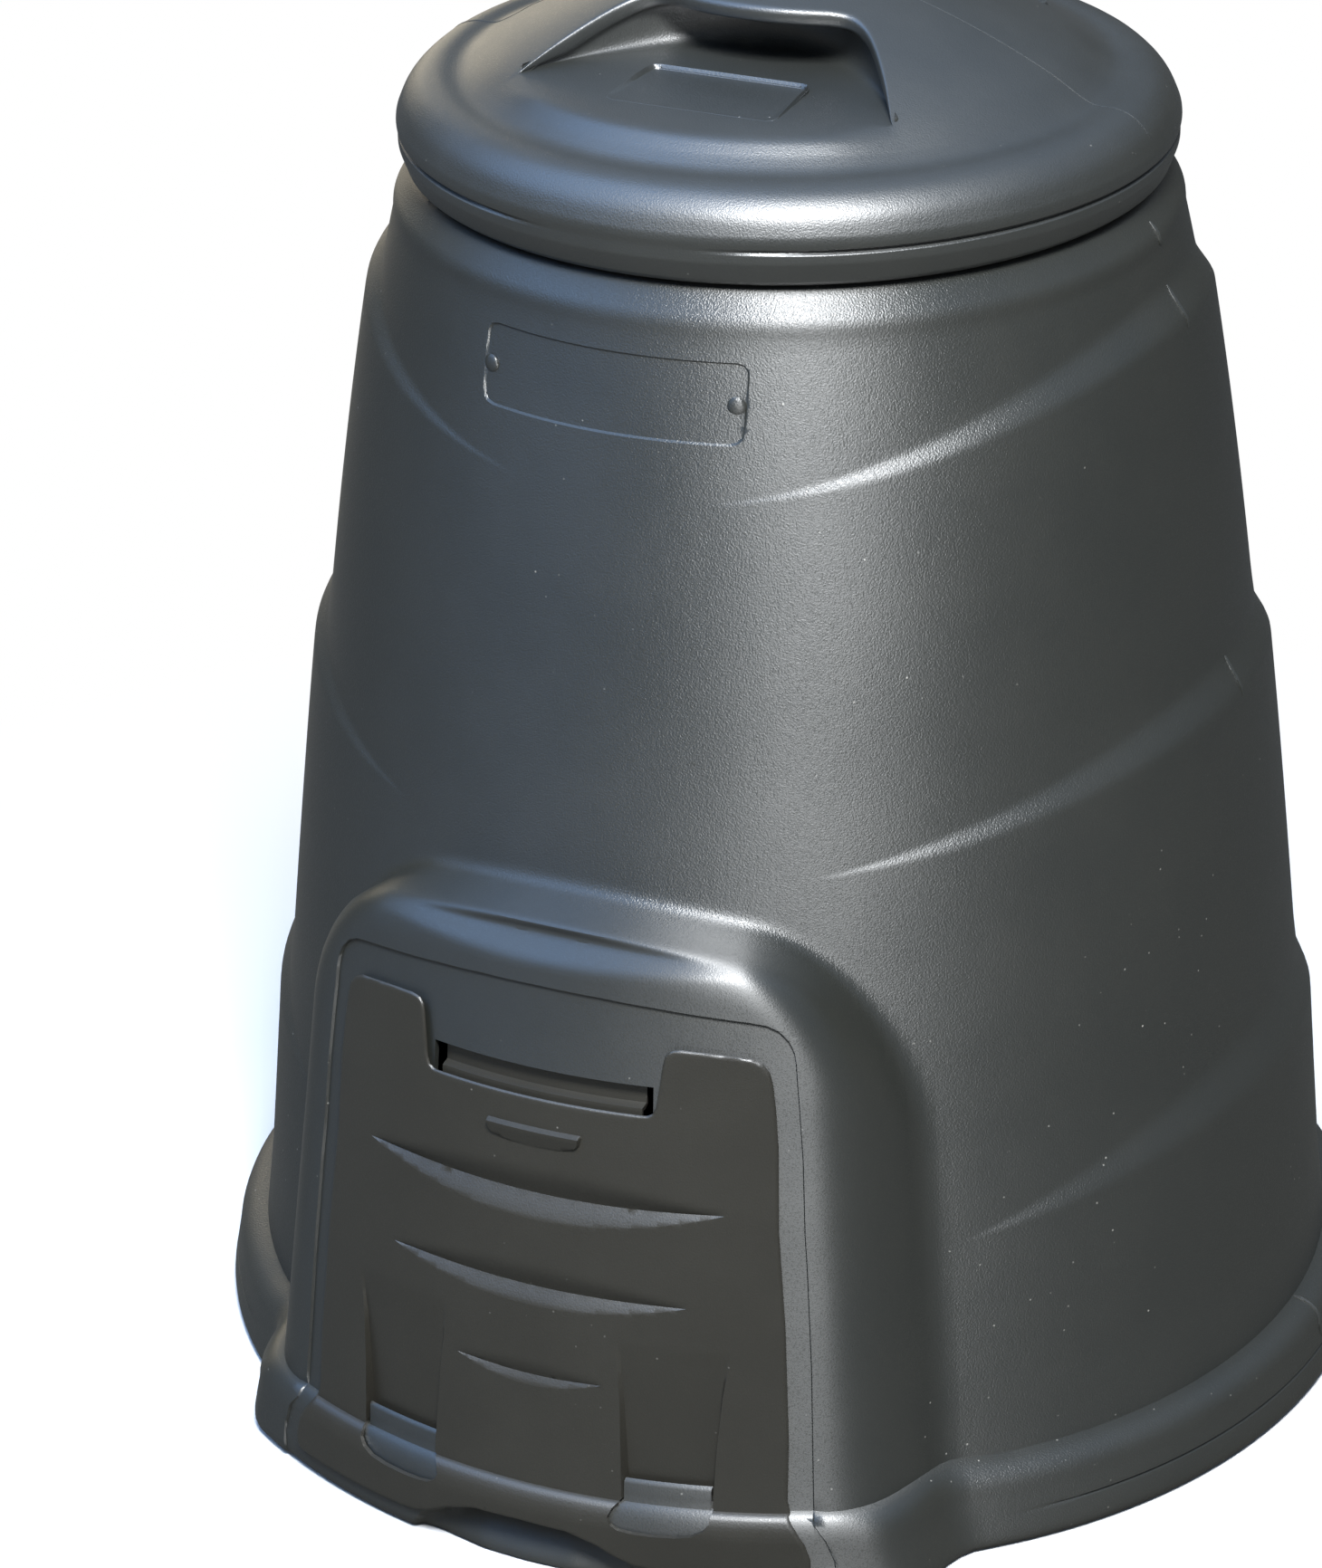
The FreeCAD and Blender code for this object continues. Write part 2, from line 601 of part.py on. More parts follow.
def grip_arch(grow):
    """Front view of a hand scoop, grown all round by its wall."""
    floor = size("grip_floor")
    half = size("grip_half_width")
    shoulder = V(size("grip_shoulder_x"), 0, size("grip_shoulder_z"))
    foot = V(half, 0, floor)
    turn = V(0.4 * shoulder.x + 0.6 * half, 0, 0.55 * shoulder.z + 0.45 * floor)
    crown = V(0, 0, size("grip_top"))
    left = V(-shoulder.x, 0, shoulder.z), V(-turn.x, 0, turn.z), V(-half, 0, floor)
    edges = [arc(foot, turn, shoulder), arc(shoulder, crown, left[0]), arc(*left), line(left[2], foot)]
    return rounded(Part.Face(Part.Wire(edges)), -grow)


def grip_plan(grow):
    """Plan view of a hand scoop: its curved back wall and its open front."""
    half = size("grip_half_width")
    corner = -size("grip_corner_y")
    far = -size("lid_roll_radius") - size("lid_wall")
    back = arc(V(half, corner, 0), V(0, -size("grip_back"), 0), V(-half, corner, 0))
    edges = [back, line(V(-half, corner, 0), V(-half, far, 0)), line(V(-half, far, 0), V(half, far, 0))]
    edges.append(line(V(half, far, 0), V(half, corner, 0)))
    return rounded(Part.Face(Part.Wire(edges)), -grow)


def label_section():
    """Half section of the shallow space in front of the bare plate."""
    low = size("label_low")
    high = size("label_high")
    corners = []
    for level in (low, 0.5 * (low + high), high):
        corners.append(at(wall_radius(level) - size("label_depth"), level))
    return polygon(*corners, at(size("foot_radius"), high), at(size("foot_radius"), low))


def make_surround():
    """The raised hatch surround as an outer and an inner solid."""
    outer = common(
        "surround_block",
        face_cone("surround_cone", "Sizes.door_proud"),
        prism("surround_prism", surround_outline(0), FRONT, REACH),
    )
    inner = common(
        "surround_inner",
        face_cone("frame_cone", "Sizes.door_proud + Sizes.rebate_depth + Sizes.wall"),
        prism("surround_hollow", surround_outline(size("wall")), FRONT, REACH),
    )
    return outer, inner


def make_front_foot():
    """The wider front part of the foot as an outer and an inner solid."""
    low = "Sizes.face_radius - Sizes.front_foot_behind"
    outer = common(
        "front_foot_outer",
        cone("front_foot_cone", low, f"{low} - Sizes.front_foot_taper", "Sizes.wall_foot_level"),
        prism("front_foot_prism", front_foot_plan(0), AXIS, REACH),
    )
    inner = common(
        "front_foot_inner",
        cone(
            "front_hollow_cone",
            f"{low} - Sizes.wall",
            f"{low} - Sizes.front_foot_taper - Sizes.wall",
            "Sizes.wall_foot_level",
            "-Sizes.wall",
        ),
        prism("front_hollow_prism", front_foot_plan(size("wall")).translated(V(0, 0, -size("wall"))), AXIS, REACH),
    )
    return outer, inner


def make_scoop(name, grow):
    """Space of the finger scoop, cut back from the front foot's face."""
    depth = size("scoop_depth") + grow
    section = polygon(
        at(front_foot_radius(0) - depth, -size("foot_edge")),
        at(front_foot_radius(0) + depth, -size("foot_edge")),
        at(front_foot_radius(0) + depth, size("scoop_height") + grow),
        at(front_foot_radius(size("scoop_height")) + 1 - depth, size("scoop_height") + grow),
    )
    return common(name, turned(f"{name}_ring", section), prism(f"{name}_prism", scoop_outline(grow), FRONT, REACH))


def make_tongues():
    """The two upright tongues that hold the door's foot."""
    root = size("wall_foot_level") - 0.5 * size("wall")
    band = face_band(root, size("tongue_top"), 0, size("tongue_thickness"), front_foot_radius)
    ring = turned("tongue_ring", band)
    outline = block_face(size("tongue_near"), size("tongue_far"), root, size("tongue_top"))
    right = common("tongue_right", ring, prism("tongue_prism", outline, FRONT, REACH))
    return right, mirrored("tongue_left", right, V(1, 0, 0))


def make_body():
    surround_outer, surround_inner = make_surround()
    foot_outer, foot_inner = make_front_foot()
    wall_top = size("neck_top_level")
    outside = fuse(
        "body_outside",
        formed("core_outer", core_solid(0, 0, wall_top)),
        surround_outer,
        foot_outer,
    )
    hollows = fuse(
        "body_hollows",
        formed("core_inner", core_solid(size("wall"), -size("wall"), wall_top + size("wall"))),
        surround_inner,
        foot_inner,
    )
    inside = cut("body_inside", hollows, make_scoop("scoop_wall", size("wall")))
    panel_face = block_face(-size("panel_half_width"), size("panel_half_width"), size("panel_low"), size("rebate_top"))
    panel = prism("panel_prism", panel_face, FRONT, REACH)
    rebate = prism("rebate_prism", rebate_outline(), FRONT, REACH)
    around_panel = cut("rebate_sides", rebate, panel)
    floor = face_cone("rebate_floor", "Sizes.door_proud + Sizes.rebate_depth")
    panel_floor = face_cone("panel_floor", "Sizes.door_proud + Sizes.panel_drop")
    label = common(
        "label_space",
        turned("label_ring", label_section()),
        prism("label_prism", label_face(), FRONT, REACH),
    )
    spaces = fuse(
        "body_spaces",
        cut("rebate_space", around_panel, floor),
        cut("panel_space", common("panel_front", panel, rebate), panel_floor),
        prism("opening_prism", opening_outline(), FRONT, REACH),
        make_scoop("scoop_space", 0),
        label,
    )
    shell = cut("body_shell_open", cut("body_shell_plain", outside, inside), spaces)
    body = fuse("body", shell, *make_tongues())
    body.Label = "body"
    return body


def label_face():
    """Front view of the bare plate with rounded corners."""
    corner = size("label_corner")
    half = size("label_half_width")
    sharp = block_face(corner - half, half - corner, size("label_low") + corner, size("label_high") - corner)
    return sharp.makeOffset2D(corner)


def make_channels():
    """The channels round the tongues: the space to cut and the wall to add."""
    near = size("tongue_near") - size("channel_gap")
    far = size("tongue_far") + size("channel_gap")
    wall = size("channel_wall")
    low = size("wall_foot_level") + size("seat_gap")
    high = size("channel_top")
    space = common(
        "channel_space",
        turned("channel_ring", channel_section(0, size("scoop_depth"))),
        prism("channel_prism", block_face(near, far, low, high), FRONT, REACH),
    )
    floor = common(
        "channel_floor",
        turned("channel_floor_ring", channel_section(wall, 0)),
        prism("channel_floor_prism", block_face(near - wall, far + wall, low, high), FRONT, REACH),
    )
    side = V(1, 0, 0)
    return [space, mirrored("channel_space_left", space, side)], [floor, mirrored("channel_floor_left", floor, side)]


def make_louvres():
    """Spaces of three crescent louvres sunk into the door, the longest at the top."""
    louvres = []
    for name in ("top", "middle", "low"):
        low = size(f"{name}_louvre_lower")
        high = size(f"{name}_louvre_level")
        ring = turned(f"{name}_louvre_ring", face_band(low, high, -1, size("louvre_depth")))
        louvres.append(common(f"{name}_louvre", ring, prism(f"{name}_louvre_prism", louvre_outline(name), FRONT, REACH)))
    return louvres


def make_lip():
    """The lip that stands up behind the hanging tab, on its root."""
    behind = size("door_proud") + size("rebate_depth") + size("wall") + size("seat_gap")
    deep = behind + size("door_wall")
    low = size("lip_foot")
    half = size("lip_half_width")
    plate = turned("lip_ring", face_band(low, size("lip_top"), behind, deep))
    root = turned("lip_root_ring", face_band(low, low + size("lip_web"), size("door_proud"), deep))
    outline = block_face(-half, half, low, size("lip_top"))
    return common("lip", fuse("lip_rings", plate, root), prism("lip_prism", outline, FRONT, REACH))


def make_door():
    low = size("wall_foot_level") + size("seat_gap")
    behind = size("door_proud") + size("rebate_depth") - size("seat_gap")
    panel = common(
        "door_panel",
        turned("door_ring", face_band(low, size("tab_top"), 0, behind)),
        prism("door_prism", door_outline(), FRONT, REACH),
    )
    proud = size("seat_gap") + size("wrap_thickness")
    foot = common(
        "door_foot",
        turned(
            "wrap_ring",
            face_band(size("wrap_low"), size("wrap_high_z"), -proud, -size("seat_gap"), front_foot_radius),
        ),
        prism("wrap_prism", wrap_outline(), FRONT, REACH),
    )
    spaces, floors = make_channels()
    cutout = prism("cutout_prism", cutout_outline(), FRONT, REACH)
    catch = common(
        "catch_space",
        turned("catch_ring", face_band(size("catch_low"), size("catch_high"), -1, size("catch_depth"))),
        prism(
            "catch_prism",
            block_face(-size("catch_half_width"), size("catch_half_width"), size("catch_low"), size("catch_high")),
            FRONT,
            REACH,
        ),
    )
    opened_foot = cut("door_foot_open", foot, fuse("cutouts", cutout, mirrored("cutout_left", cutout, V(1, 0, 0))))
    plain = fuse("door_plain", panel, opened_foot)
    sunk = cut("door_sunk", plain, fuse("door_spaces", *spaces, catch, *make_louvres()))
    door = fuse("hatch_door", sunk, *floors, make_lip())
    door.Label = "hatch_door"
    return door


def make_grip(name, grow):
    """Space of the front hand scoop, grown by a wall where asked."""
    arch = prism(f"{name}_arch", grip_arch(grow), FRONT, REACH)
    plan = prism(f"{name}_plan", grip_plan(grow), AXIS, "Sizes.lid_top_level + Sizes.lid_wall")
    front = common(name, arch, plan)
    return front, mirrored(f"{name}_back", front, V(0, 1, 0))


def make_lid():
    wall = size("lid_wall")
    hollow = cut(
        "lid_hollow",
        turned("lid_inner", lid_inner_section()),
        fuse("grip_walls", *make_grip("grip_wall", wall)),
    )
    grips = fuse("grip_spaces", *make_grip("grip_space", 0))
    shell = cut("lid_shell", cut("lid_scooped", turned("lid_outer", lid_outer_section()), grips), hollow)
    outer = size("neck_radius") - size("wall") - size("plug_gap")
    seat = size("neck_top_level") + size("seat_gap")
    ring_wire = polygon(
        at(outer, seat - size("plug_drop")),
        at(outer, seat + 0.5 * wall),
        at(outer - wall, seat + 0.5 * wall),
        at(outer - wall, seat - size("plug_drop")),
    )
    plate = box(
        "scoop_plate",
        "2 * Sizes.plate_half_width",
        "Sizes.plate_far - Sizes.plate_near",
        "Sizes.plate_height + 0.5 * Sizes.lid_wall",
        ("-Sizes.plate_half_width", "-Sizes.plate_far", "Sizes.grip_floor - 0.5 * Sizes.lid_wall"),
    )
    lid = fuse("lid", shell, turned("locating_ring", ring_wire), plate, mirrored("scoop_plate_back", plate, V(0, 1, 0)))
    lid.Label = "lid"
    return lid


parts = [make_body(), make_lid(), make_door()]
doc.recompute()

faulty = [item.Name for item in doc.Objects if {"Invalid", "Error"} & set(item.State)]
for part in parts:
    shape = part.Shape
    print(part.Label, "solids", len(shape.Solids), "volume", round(shape.Volume / 1e6, 3), "L", shape.BoundBox)
    if shape.isNull() or not shape.isValid() or len(shape.Solids) != 1:
        faulty.append(part.Label)
if faulty:
    raise RuntimeError(f"failed: {faulty}")
os.makedirs("parts", exist_ok=True)
front_reach = front_foot_radius(size("scoop_height")) + size("seat_gap") + size("wrap_thickness")
footprint_shift = 0.5 * (front_reach - size("foot_radius"))
print("bin axis at y", round(footprint_shift, 3))
for part in parts:
    part.Placement = FreeCAD.Placement(V(0, footprint_shift, 0), FreeCAD.Rotation())
    part.Shape.exportStep(os.path.join("parts", f"{part.Label}.step"))
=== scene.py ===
import math

import bmesh
import bpy
from mathutils import Matrix, Vector


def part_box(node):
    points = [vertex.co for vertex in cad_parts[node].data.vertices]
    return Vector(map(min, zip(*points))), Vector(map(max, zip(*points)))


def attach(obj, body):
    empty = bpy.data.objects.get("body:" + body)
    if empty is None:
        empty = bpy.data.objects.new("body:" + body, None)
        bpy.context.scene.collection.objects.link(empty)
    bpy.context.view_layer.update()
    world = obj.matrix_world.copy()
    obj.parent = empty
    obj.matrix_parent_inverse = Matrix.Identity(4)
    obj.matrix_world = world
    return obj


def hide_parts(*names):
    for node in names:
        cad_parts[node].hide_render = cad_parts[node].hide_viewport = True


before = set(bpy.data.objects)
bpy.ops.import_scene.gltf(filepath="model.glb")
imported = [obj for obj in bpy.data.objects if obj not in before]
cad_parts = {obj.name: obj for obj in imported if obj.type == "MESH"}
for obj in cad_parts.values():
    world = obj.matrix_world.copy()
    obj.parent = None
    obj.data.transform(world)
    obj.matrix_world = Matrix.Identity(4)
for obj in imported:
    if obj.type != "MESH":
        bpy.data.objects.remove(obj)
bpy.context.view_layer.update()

# The moulder's sizes are in millimetres about the bin's own upright axis; the door faces -Y.
MM = 0.001
lid_low, lid_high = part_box("lid")
AXIS_Y = 0.5 * (lid_low[1] + lid_high[1])


# Small helpers.

def ramp(value, low, high):
    return min(1.0, max(0.0, (value - low) / (high - low)))


def ease(value, low, high):
    """A soft step from 0 to 1; with low above high it falls instead."""
    t = ramp(value, low, high)
    return t * t * (3.0 - 2.0 * t)


def blend(first, second, share):
    return first + (second - first) * share


def soft_least(a, b, reach):
    near = max(reach - abs(a - b), 0.0) / reach
    return min(a, b) - near * near * reach / 4.0


def soft_most(a, b, reach):
    return -soft_least(-a, -b, reach)


def read_table(table, key):
    """Straight steps between the listed pairs, level beyond the ends."""
    if key <= table[0][0]:
        return table[0][1]
    for (low, first), (high, second) in zip(table, table[1:]):
        if key <= high:
            return blend(first, second, (key - low) / (high - low))
    return table[-1][1]


# how much of a straight line one rounded corner may take
CORNER_SHARE = 0.48


def rounded(points, radii, arc_steps=4, run_steps=2):
    """A run of straight lines with its corners rounded; the count of points never changes with the shape."""
    points = [Vector(point) for point in points]
    arcs = []
    for i in range(1, len(points) - 1):
        before, after = points[i] - points[i - 1], points[i + 1] - points[i]
        back = radii[i - 1] * math.tan(min(before.angle(after, 0.0), 3.0) / 2.0)
        back = min(back, CORNER_SHARE * before.length, CORNER_SHARE * after.length)
        come, leave = points[i] - before.normalized() * back, points[i] + after.normalized() * back
        arcs.append((come, points[i], leave))
    path = [points[0]]
    for i in range(len(points) - 1):
        start = path[-1]
        end = arcs[i][0] if i < len(arcs) else points[-1]
        path += [start.lerp(end, step / run_steps) for step in range(1, run_steps + 1)]
        if i < len(arcs):
            come, corner, leave = arcs[i]
            for step in range(1, arc_steps + 1):
                t = step / arc_steps
                path.append(come * (1 - t) ** 2 + corner * 2 * t * (1 - t) + leave * t * t)
    return path


class Outline:
    """A closed line of (x, z) points drawn on a front view."""

    def __init__(self, points):
        self.points = [tuple(point) for point in points]

    def distance(self, x, z):
        """How far a point is from the line, positive inside it."""
        least = 1e9
        inside = False
        count = len(self.points)
        for i in range(count):
            ax, az = self.points[i]
            bx, bz = self.points[(i + 1) % count]
            ex, ez = bx - ax, bz - az
            span = ex * ex + ez * ez
            t = ((x - ax) * ex + (z - az) * ez) / span if span > 0 else 0.0
            t = min(1.0, max(0.0, t))
            least = min(least, math.hypot(x - ax - t * ex, z - az - t * ez))
            if (az > z) != (bz > z) and x < ax + (z - az) * ex / ez:
                inside = not inside
        return least if inside else -least

    def moved_in(self, gap):
        """The same line, a gap further in all round."""
        count = len(self.points)
        area = 0.0
        for (ax, az), (bx, bz) in zip(self.points, self.points[1:] + self.points[:1]):
            area += ax * bz - bx * az
        side = 1.0 if area > 0 else -1.0
        moved = []
        for i in range(count):
            here = Vector(self.points[i])
            come = (here - Vector(self.points[i - 1])).normalized()
            leave = (Vector(self.points[(i + 1) % count]) - here).normalized()
            first = Vector((-come.y, come.x)) * side
            second = Vector((-leave.y, leave.x)) * side
            middle = first + second
            middle /= max(0.25, middle.length_squared / 2.0)
            moved.append(here + middle * gap)
        return Outline(moved)


def both_sides(right_half):
    """A line drawn from the bottom up on the right, closed by its mirror image on the left."""
    return Outline(list(right_half) + [(-x, z) for x, z in reversed(right_half) if abs(x) > 1e-6])


def cut_along(mesh, line, closed=True, reach=3.4):
    """Runs a knife along a line of (x, z) points through the flat sheet."""
    xs = [point[0] for point in line]
    zs = [point[1] for point in line]
    sheet = {
        face for face in mesh.faces
        if min(xs) - reach < face.calc_center_median().x < max(xs) + reach
        and min(zs) - reach < face.calc_center_median().z < max(zs) + reach
    }
    count = len(line)
    for i in range(count if closed else count - 1):
        (ax, az), (bx, bz) = line[i], line[(i + 1) % count]
        length = math.hypot(bx - ax, bz - az)
        if length < 1e-5:
            continue
        along = ((bx - ax) / length, (bz - az) / length)
        near = []
        for face in sheet:
            middle = face.calc_center_median()
            run = (middle.x - ax) * along[0] + (middle.z - az) * along[1]
            off = (middle.x - ax) * along[1] - (middle.z - az) * along[0]
            if -reach < run < length + reach and abs(off) < reach:
                near.append(face)
        if not near:
            continue
        parts = set(near)
        for face in near:
            parts.update(face.edges)
            parts.update(face.verts)
        result = bmesh.ops.bisect_plane(
            mesh, geom=list(parts), dist=0.002,
            plane_co=(ax, 0.0, az), plane_no=(along[1], 0.0, -along[0]),
        )
        sheet.update(item for item in result["geom"] if isinstance(item, bmesh.types.BMFace))


def flat_sheet(columns, rows):
    """A flat grid whose x and y run from 0 to 1."""
    mesh = bmesh.new()
    bmesh.ops.create_grid(mesh, x_segments=columns, y_segments=rows, size=0.5)
    bmesh.ops.translate(mesh, vec=(0.5, 0.5, 0.0), verts=mesh.verts)
    return mesh


def grid_counts(mesh):
    """How many columns and rows of faces a flat sheet has."""
    return [len({round(vert.co[axis], 5) for vert in mesh.verts}) - 1 for axis in (0, 1)]


def drop_faces(mesh, unwanted):
    gone = [face for face in mesh.faces if unwanted(face.calc_center_median())]
    bmesh.ops.delete(mesh, geom=gone, context="FACES")


def front_sheet(columns, rows, xs, zs):
    """An upright grid that faces -Y, between two x and two z."""
    mesh = flat_sheet(columns, rows)
    for vert in mesh.verts:
        vert.co = (blend(*xs, vert.co.x), 0.0, blend(*zs, vert.co.y))
    return mesh


def bent(x, radius, z):
    """A point at x and z on the front of a round wall."""
    return (x, -math.sqrt(radius * radius - x * x), z)


def to_space(mesh):
    """Millimetres about the bin's axis become metres in the row frame."""
    bmesh.ops.transform(
        mesh, matrix=Matrix.Translation((0.0, AXIS_Y, 0.0)) @ Matrix.Scale(MM, 4), verts=mesh.verts
    )


def join_into(target, mesh):
    """Adds one bmesh to another."""
    carrier = bpy.data.meshes.new("carrier")
    mesh.to_mesh(carrier)
    target.from_mesh(carrier)
    bpy.data.meshes.remove(carrier)
    mesh.free()


def thickened(mesh, thickness):
    """The sheet with a wall behind it, as a bmesh in the same units."""
    carrier = bpy.data.meshes.new("carrier")
    mesh.to_mesh(carrier)
    mesh.free()
    holder = bpy.data.objects.new("holder", carrier)
    bpy.context.scene.collection.objects.link(holder)
    wall = holder.modifiers.new("wall", "SOLIDIFY")
    wall.thickness = thickness
    wall.offset = -1.0
    shape = bpy.data.meshes.new_from_object(holder.evaluated_get(bpy.context.evaluated_depsgraph_get()))
    bpy.data.objects.remove(holder)
    bpy.data.meshes.remove(carrier)
    result = bmesh.new()
    result.from_mesh(shape)
    bpy.data.meshes.remove(shape)
    return result


def finished_piece(name, mesh, material, body, node, sharp_angle=38.0):
    to_space(mesh)
    for face in mesh.faces:
        face.smooth = True
    data = bpy.data.meshes.new(name)
    mesh.to_mesh(data)
    mesh.free()
    data.set_sharp_from_angle(angle=math.radians(sharp_angle))
    data.materials.append(material)
    piece = bpy.data.objects.new(name, data)
    bpy.context.scene.collection.objects.link(piece)
    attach(piece, body)
    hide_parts(node)
    print(name, "faces", len(data.polygons))
    return piece


def ridge_line(mesh, path, width, height):
    """A thin raised seam, six-sided, that follows a path of points."""
    path = [Vector(point) for point in path]
    across = Vector((0.0, 1.0, 0.0))
    last = len(path) - 1
    rings = []
    for i, point in enumerate(path):
        up = (path[min(i + 1, last)] - path[max(i - 1, 0)]).cross(across).normalized()
        fade = 0.35 if i in (0, last) else 1.0
        turns = [math.pi * step / 3.0 for step in range(6)]
        rings.append([mesh.verts.new(
            point + (across * math.sin(turn) * width + up * math.cos(turn) * height) * fade
        ) for turn in turns])
    for first, second in zip(rings, rings[1:]):
        for i in range(6):
            mesh.faces.new((first[i - 1], first[i], second[i], second[i - 1]))


# The wall, its ledges and the hatch surround.

WALL_LEVELS = [(58.5, 349.7), (262.0, 322.8), (500.0, 288.5), (748.0, 241.0)]
# angle where it starts, level there, upper and lower edge at the side, step, level where it has faded
LEDGES = [
    (43.0, 198.0, 255.0, 227.0, 8.5, 100.0),
    (27.1, 434.0, 493.5, 473.5, 9.0, 262.0),
    (13.7, 654.0, 727.5, 708.5, 9.5, 500.0),
]
# half the height that each edge of a ledge is rounded over, and the share of the rounded form in it
LEDGE_RIM = 3.5
LEDGE_ROUNDING = 0.6
# radius that the flat chart of the body is wrapped round
FLAT_RADIUS = 370.0
# level where the wall meets the rolled foot
JOINT = 58.5
WALL_TOP = 748.0
DOOR_FOOT_RADIUS = 405.5
DOOR_LEAN = 0.1134
SURROUND_BEHIND = 2.6
SURROUND_SIDE = 39.9
SURROUND_TAPER = 0.0065
SURROUND_CHART = 350.0
SURROUND_CORNER = 112.0
SURROUND_CROWN = 415.0
SURROUND_BOW = 9.5
SURROUND_SLOPE = 56.0
SURROUND_LIFT = 53.0
LIFT_FULL = 344.0
# beyond this angle and level there is only the plain wall
SURROUND_ANGLE = 0.9
SURROUND_TOP = 470.0
REBATE_STEP = 1.8
# how wide the slopes of the rebate's edge and of the label plate's edge are
REBATE_SLOPE = 0.55
LABEL_SLOPE = 1.1
# the shallow dish under the surround's crest: half width, depth, and how far down the surround its lip lies
DISH_HALF = 121.0
DISH_DEPTH = 12.0
DISH_LIP = 72.0
WALL = 4.0


def wall_radius(level):
    total = 0.0
    for i, (own_level, own_radius) in enumerate(WALL_LEVELS):
        share = own_radius
        for j, (other, _) in enumerate(WALL_LEVELS):
            if j != i:
                share *= (level - other) / (own_level - other)
        total += share
    return total


def ledge_growth(ledge, angle):
    """0 where the ledge starts and nearly 1 at the bin's side."""
    return max(0.0, 1.0 - math.cos(angle) ** 2 / math.cos(math.radians(ledge[0])) ** 2)


def ledge_edges(ledge, angle):
    """Levels of the ledge's lower and upper edge at one angle."""
    _, origin, upper, lower, _, _ = ledge
    growth = ledge_growth(ledge, angle)
    return blend(origin, lower, growth), blend(origin, upper, growth)


def ledge_offset(angle, level):
    """How far the ledges push the wall out at one place."""
    total = 0.0
    for ledge in LEDGES:
        step, faded = ledge[4:]
        growth = ledge_growth(ledge, angle)
        if growth <= 0.0:
            continue
        lower, upper = ledge_edges(ledge, angle)
        rim = LEDGE_RIM * min(1.0, 3.0 * growth)
        if level >= upper + rim:
            share = 0.0
        elif level > lower - rim:
            slope = ramp(upper - level, 0.0, max(1.0, upper - lower))
            share = blend(slope, ease(upper + rim - level, 0.0, upper - lower + 2 * rim), LEDGE_ROUNDING)
        else:
            share = ramp(level, faded, lower)
        if level < lower:
            share = min(share, ramp(level, faded, max(lower, faded + 1.0)))
        total += step * growth * min(share, 1.0)
    return total


def door_radius(level):
    return DOOR_FOOT_RADIUS - DOOR_LEAN * level


def face_radius(level):
    return door_radius(level) - SURROUND_BEHIND


def surround_lift(level):
    return SURROUND_LIFT * ramp(level, JOINT, LIFT_FULL)


def surround_depth(angle, level):
    """How far inside the surround's foot line a point of the flat chart lies."""
    across = abs(angle) * SURROUND_CHART
    from_side = math.radians(SURROUND_SIDE - SURROUND_TAPER * level) * SURROUND_CHART - across
    from_top = SURROUND_CROWN - SURROUND_BOW * (across / 114.0) ** 2 - level
    corner = SURROUND_CORNER
    if from_side < corner and from_top < corner:
        return corner - math.hypot(corner - from_side, corner - from_top)
    return min(from_side, from_top)


def surround_share(depth):
    """0 on the wall and 1 on the surround's face, with a soft foot and a soft crest."""
    slope = depth / SURROUND_SLOPE
    return soft_most(0.0, soft_least(1.0, slope, 0.36), 0.14)


def joint_level(angle):
    return blend(57.5, 53.5, ramp(abs(math.degrees(angle)), 36.0, 46.0))


def wall_point(angle, level):
    """(radius, height) of the wall and the surround at one place of the flat chart."""
    radius = wall_radius(level) + ledge_offset(angle, level)
    height = level - (JOINT - joint_level(angle)) * (1.0 - ramp(level, JOINT, 95.0))
    if abs(angle) > SURROUND_ANGLE or level > SURROUND_TOP:
        return radius, height
    depth = surround_depth(angle, level)
    share = surround_share(depth)
    lift = surround_lift(level)
    radius = blend(radius, face_radius(height + lift), share)
    height += lift * share
    swell = abs(angle) * SURROUND_CHART / DISH_HALF
    if swell < 1.0:
        lip = blend(DISH_LIP, SURROUND_SLOPE - 2.0, swell * swell)
        sunk = ease(depth, 40.0, 62.0) * (1.0 - ease(depth, lip - 12.0, lip + 4.0))
        radius -= DISH_DEPTH * (1.0 - swell * swell) * sunk
    return radius, height


# The rolled foot.

FOOT_TOP_STEPS = 7
FOOT_LEVELS = [33.0, 28.5, 25.2, 23.7, 22.7, 21.7, 20.2, 16.5, 13.0]
# how far back from the foot's face, and level, of the rolled lower edge
FOOT_UNDER = [(0.2, 9.5), (0.9, 6.5), (2.1, 4.0), (3.9, 1.8), (6.2, 0.5), (9.0, 0.0), (14.0, 0.0)]
ROLL_LEVEL = 38.0
ROLL_FULLNESS = 0.92
FOOT_STEP = 5.0
FOOT_ROWS = FOOT_TOP_STEPS + len(FOOT_LEVELS) + len(FOOT_UNDER)
FOOT_CHART = [(0.0, 374.5), (3.0, 375.0), (22.0, 371.4), (38.0, 368.5)]


def front_foot_radius(level):
    return 405.5 - 0.035 * level


def foot_radius(angle, level):
    main = read_table(FOOT_CHART, level)
    degrees = abs(math.degrees(angle))
    if degrees > 60.0:
        radius = main
    else:
        side = (243.0 - 0.283 * (level - 3.0)) / max(0.3, math.sin(abs(angle)))
        radius = soft_most(main, soft_least(front_foot_radius(level) + 1.5, side, 50.0), 12.0)
    groove = ease(degrees, 44.0, 58.0) * max(0.0, 1.0 - abs(level - 22.7) / 1.1)
    return radius - 2.2 * groove


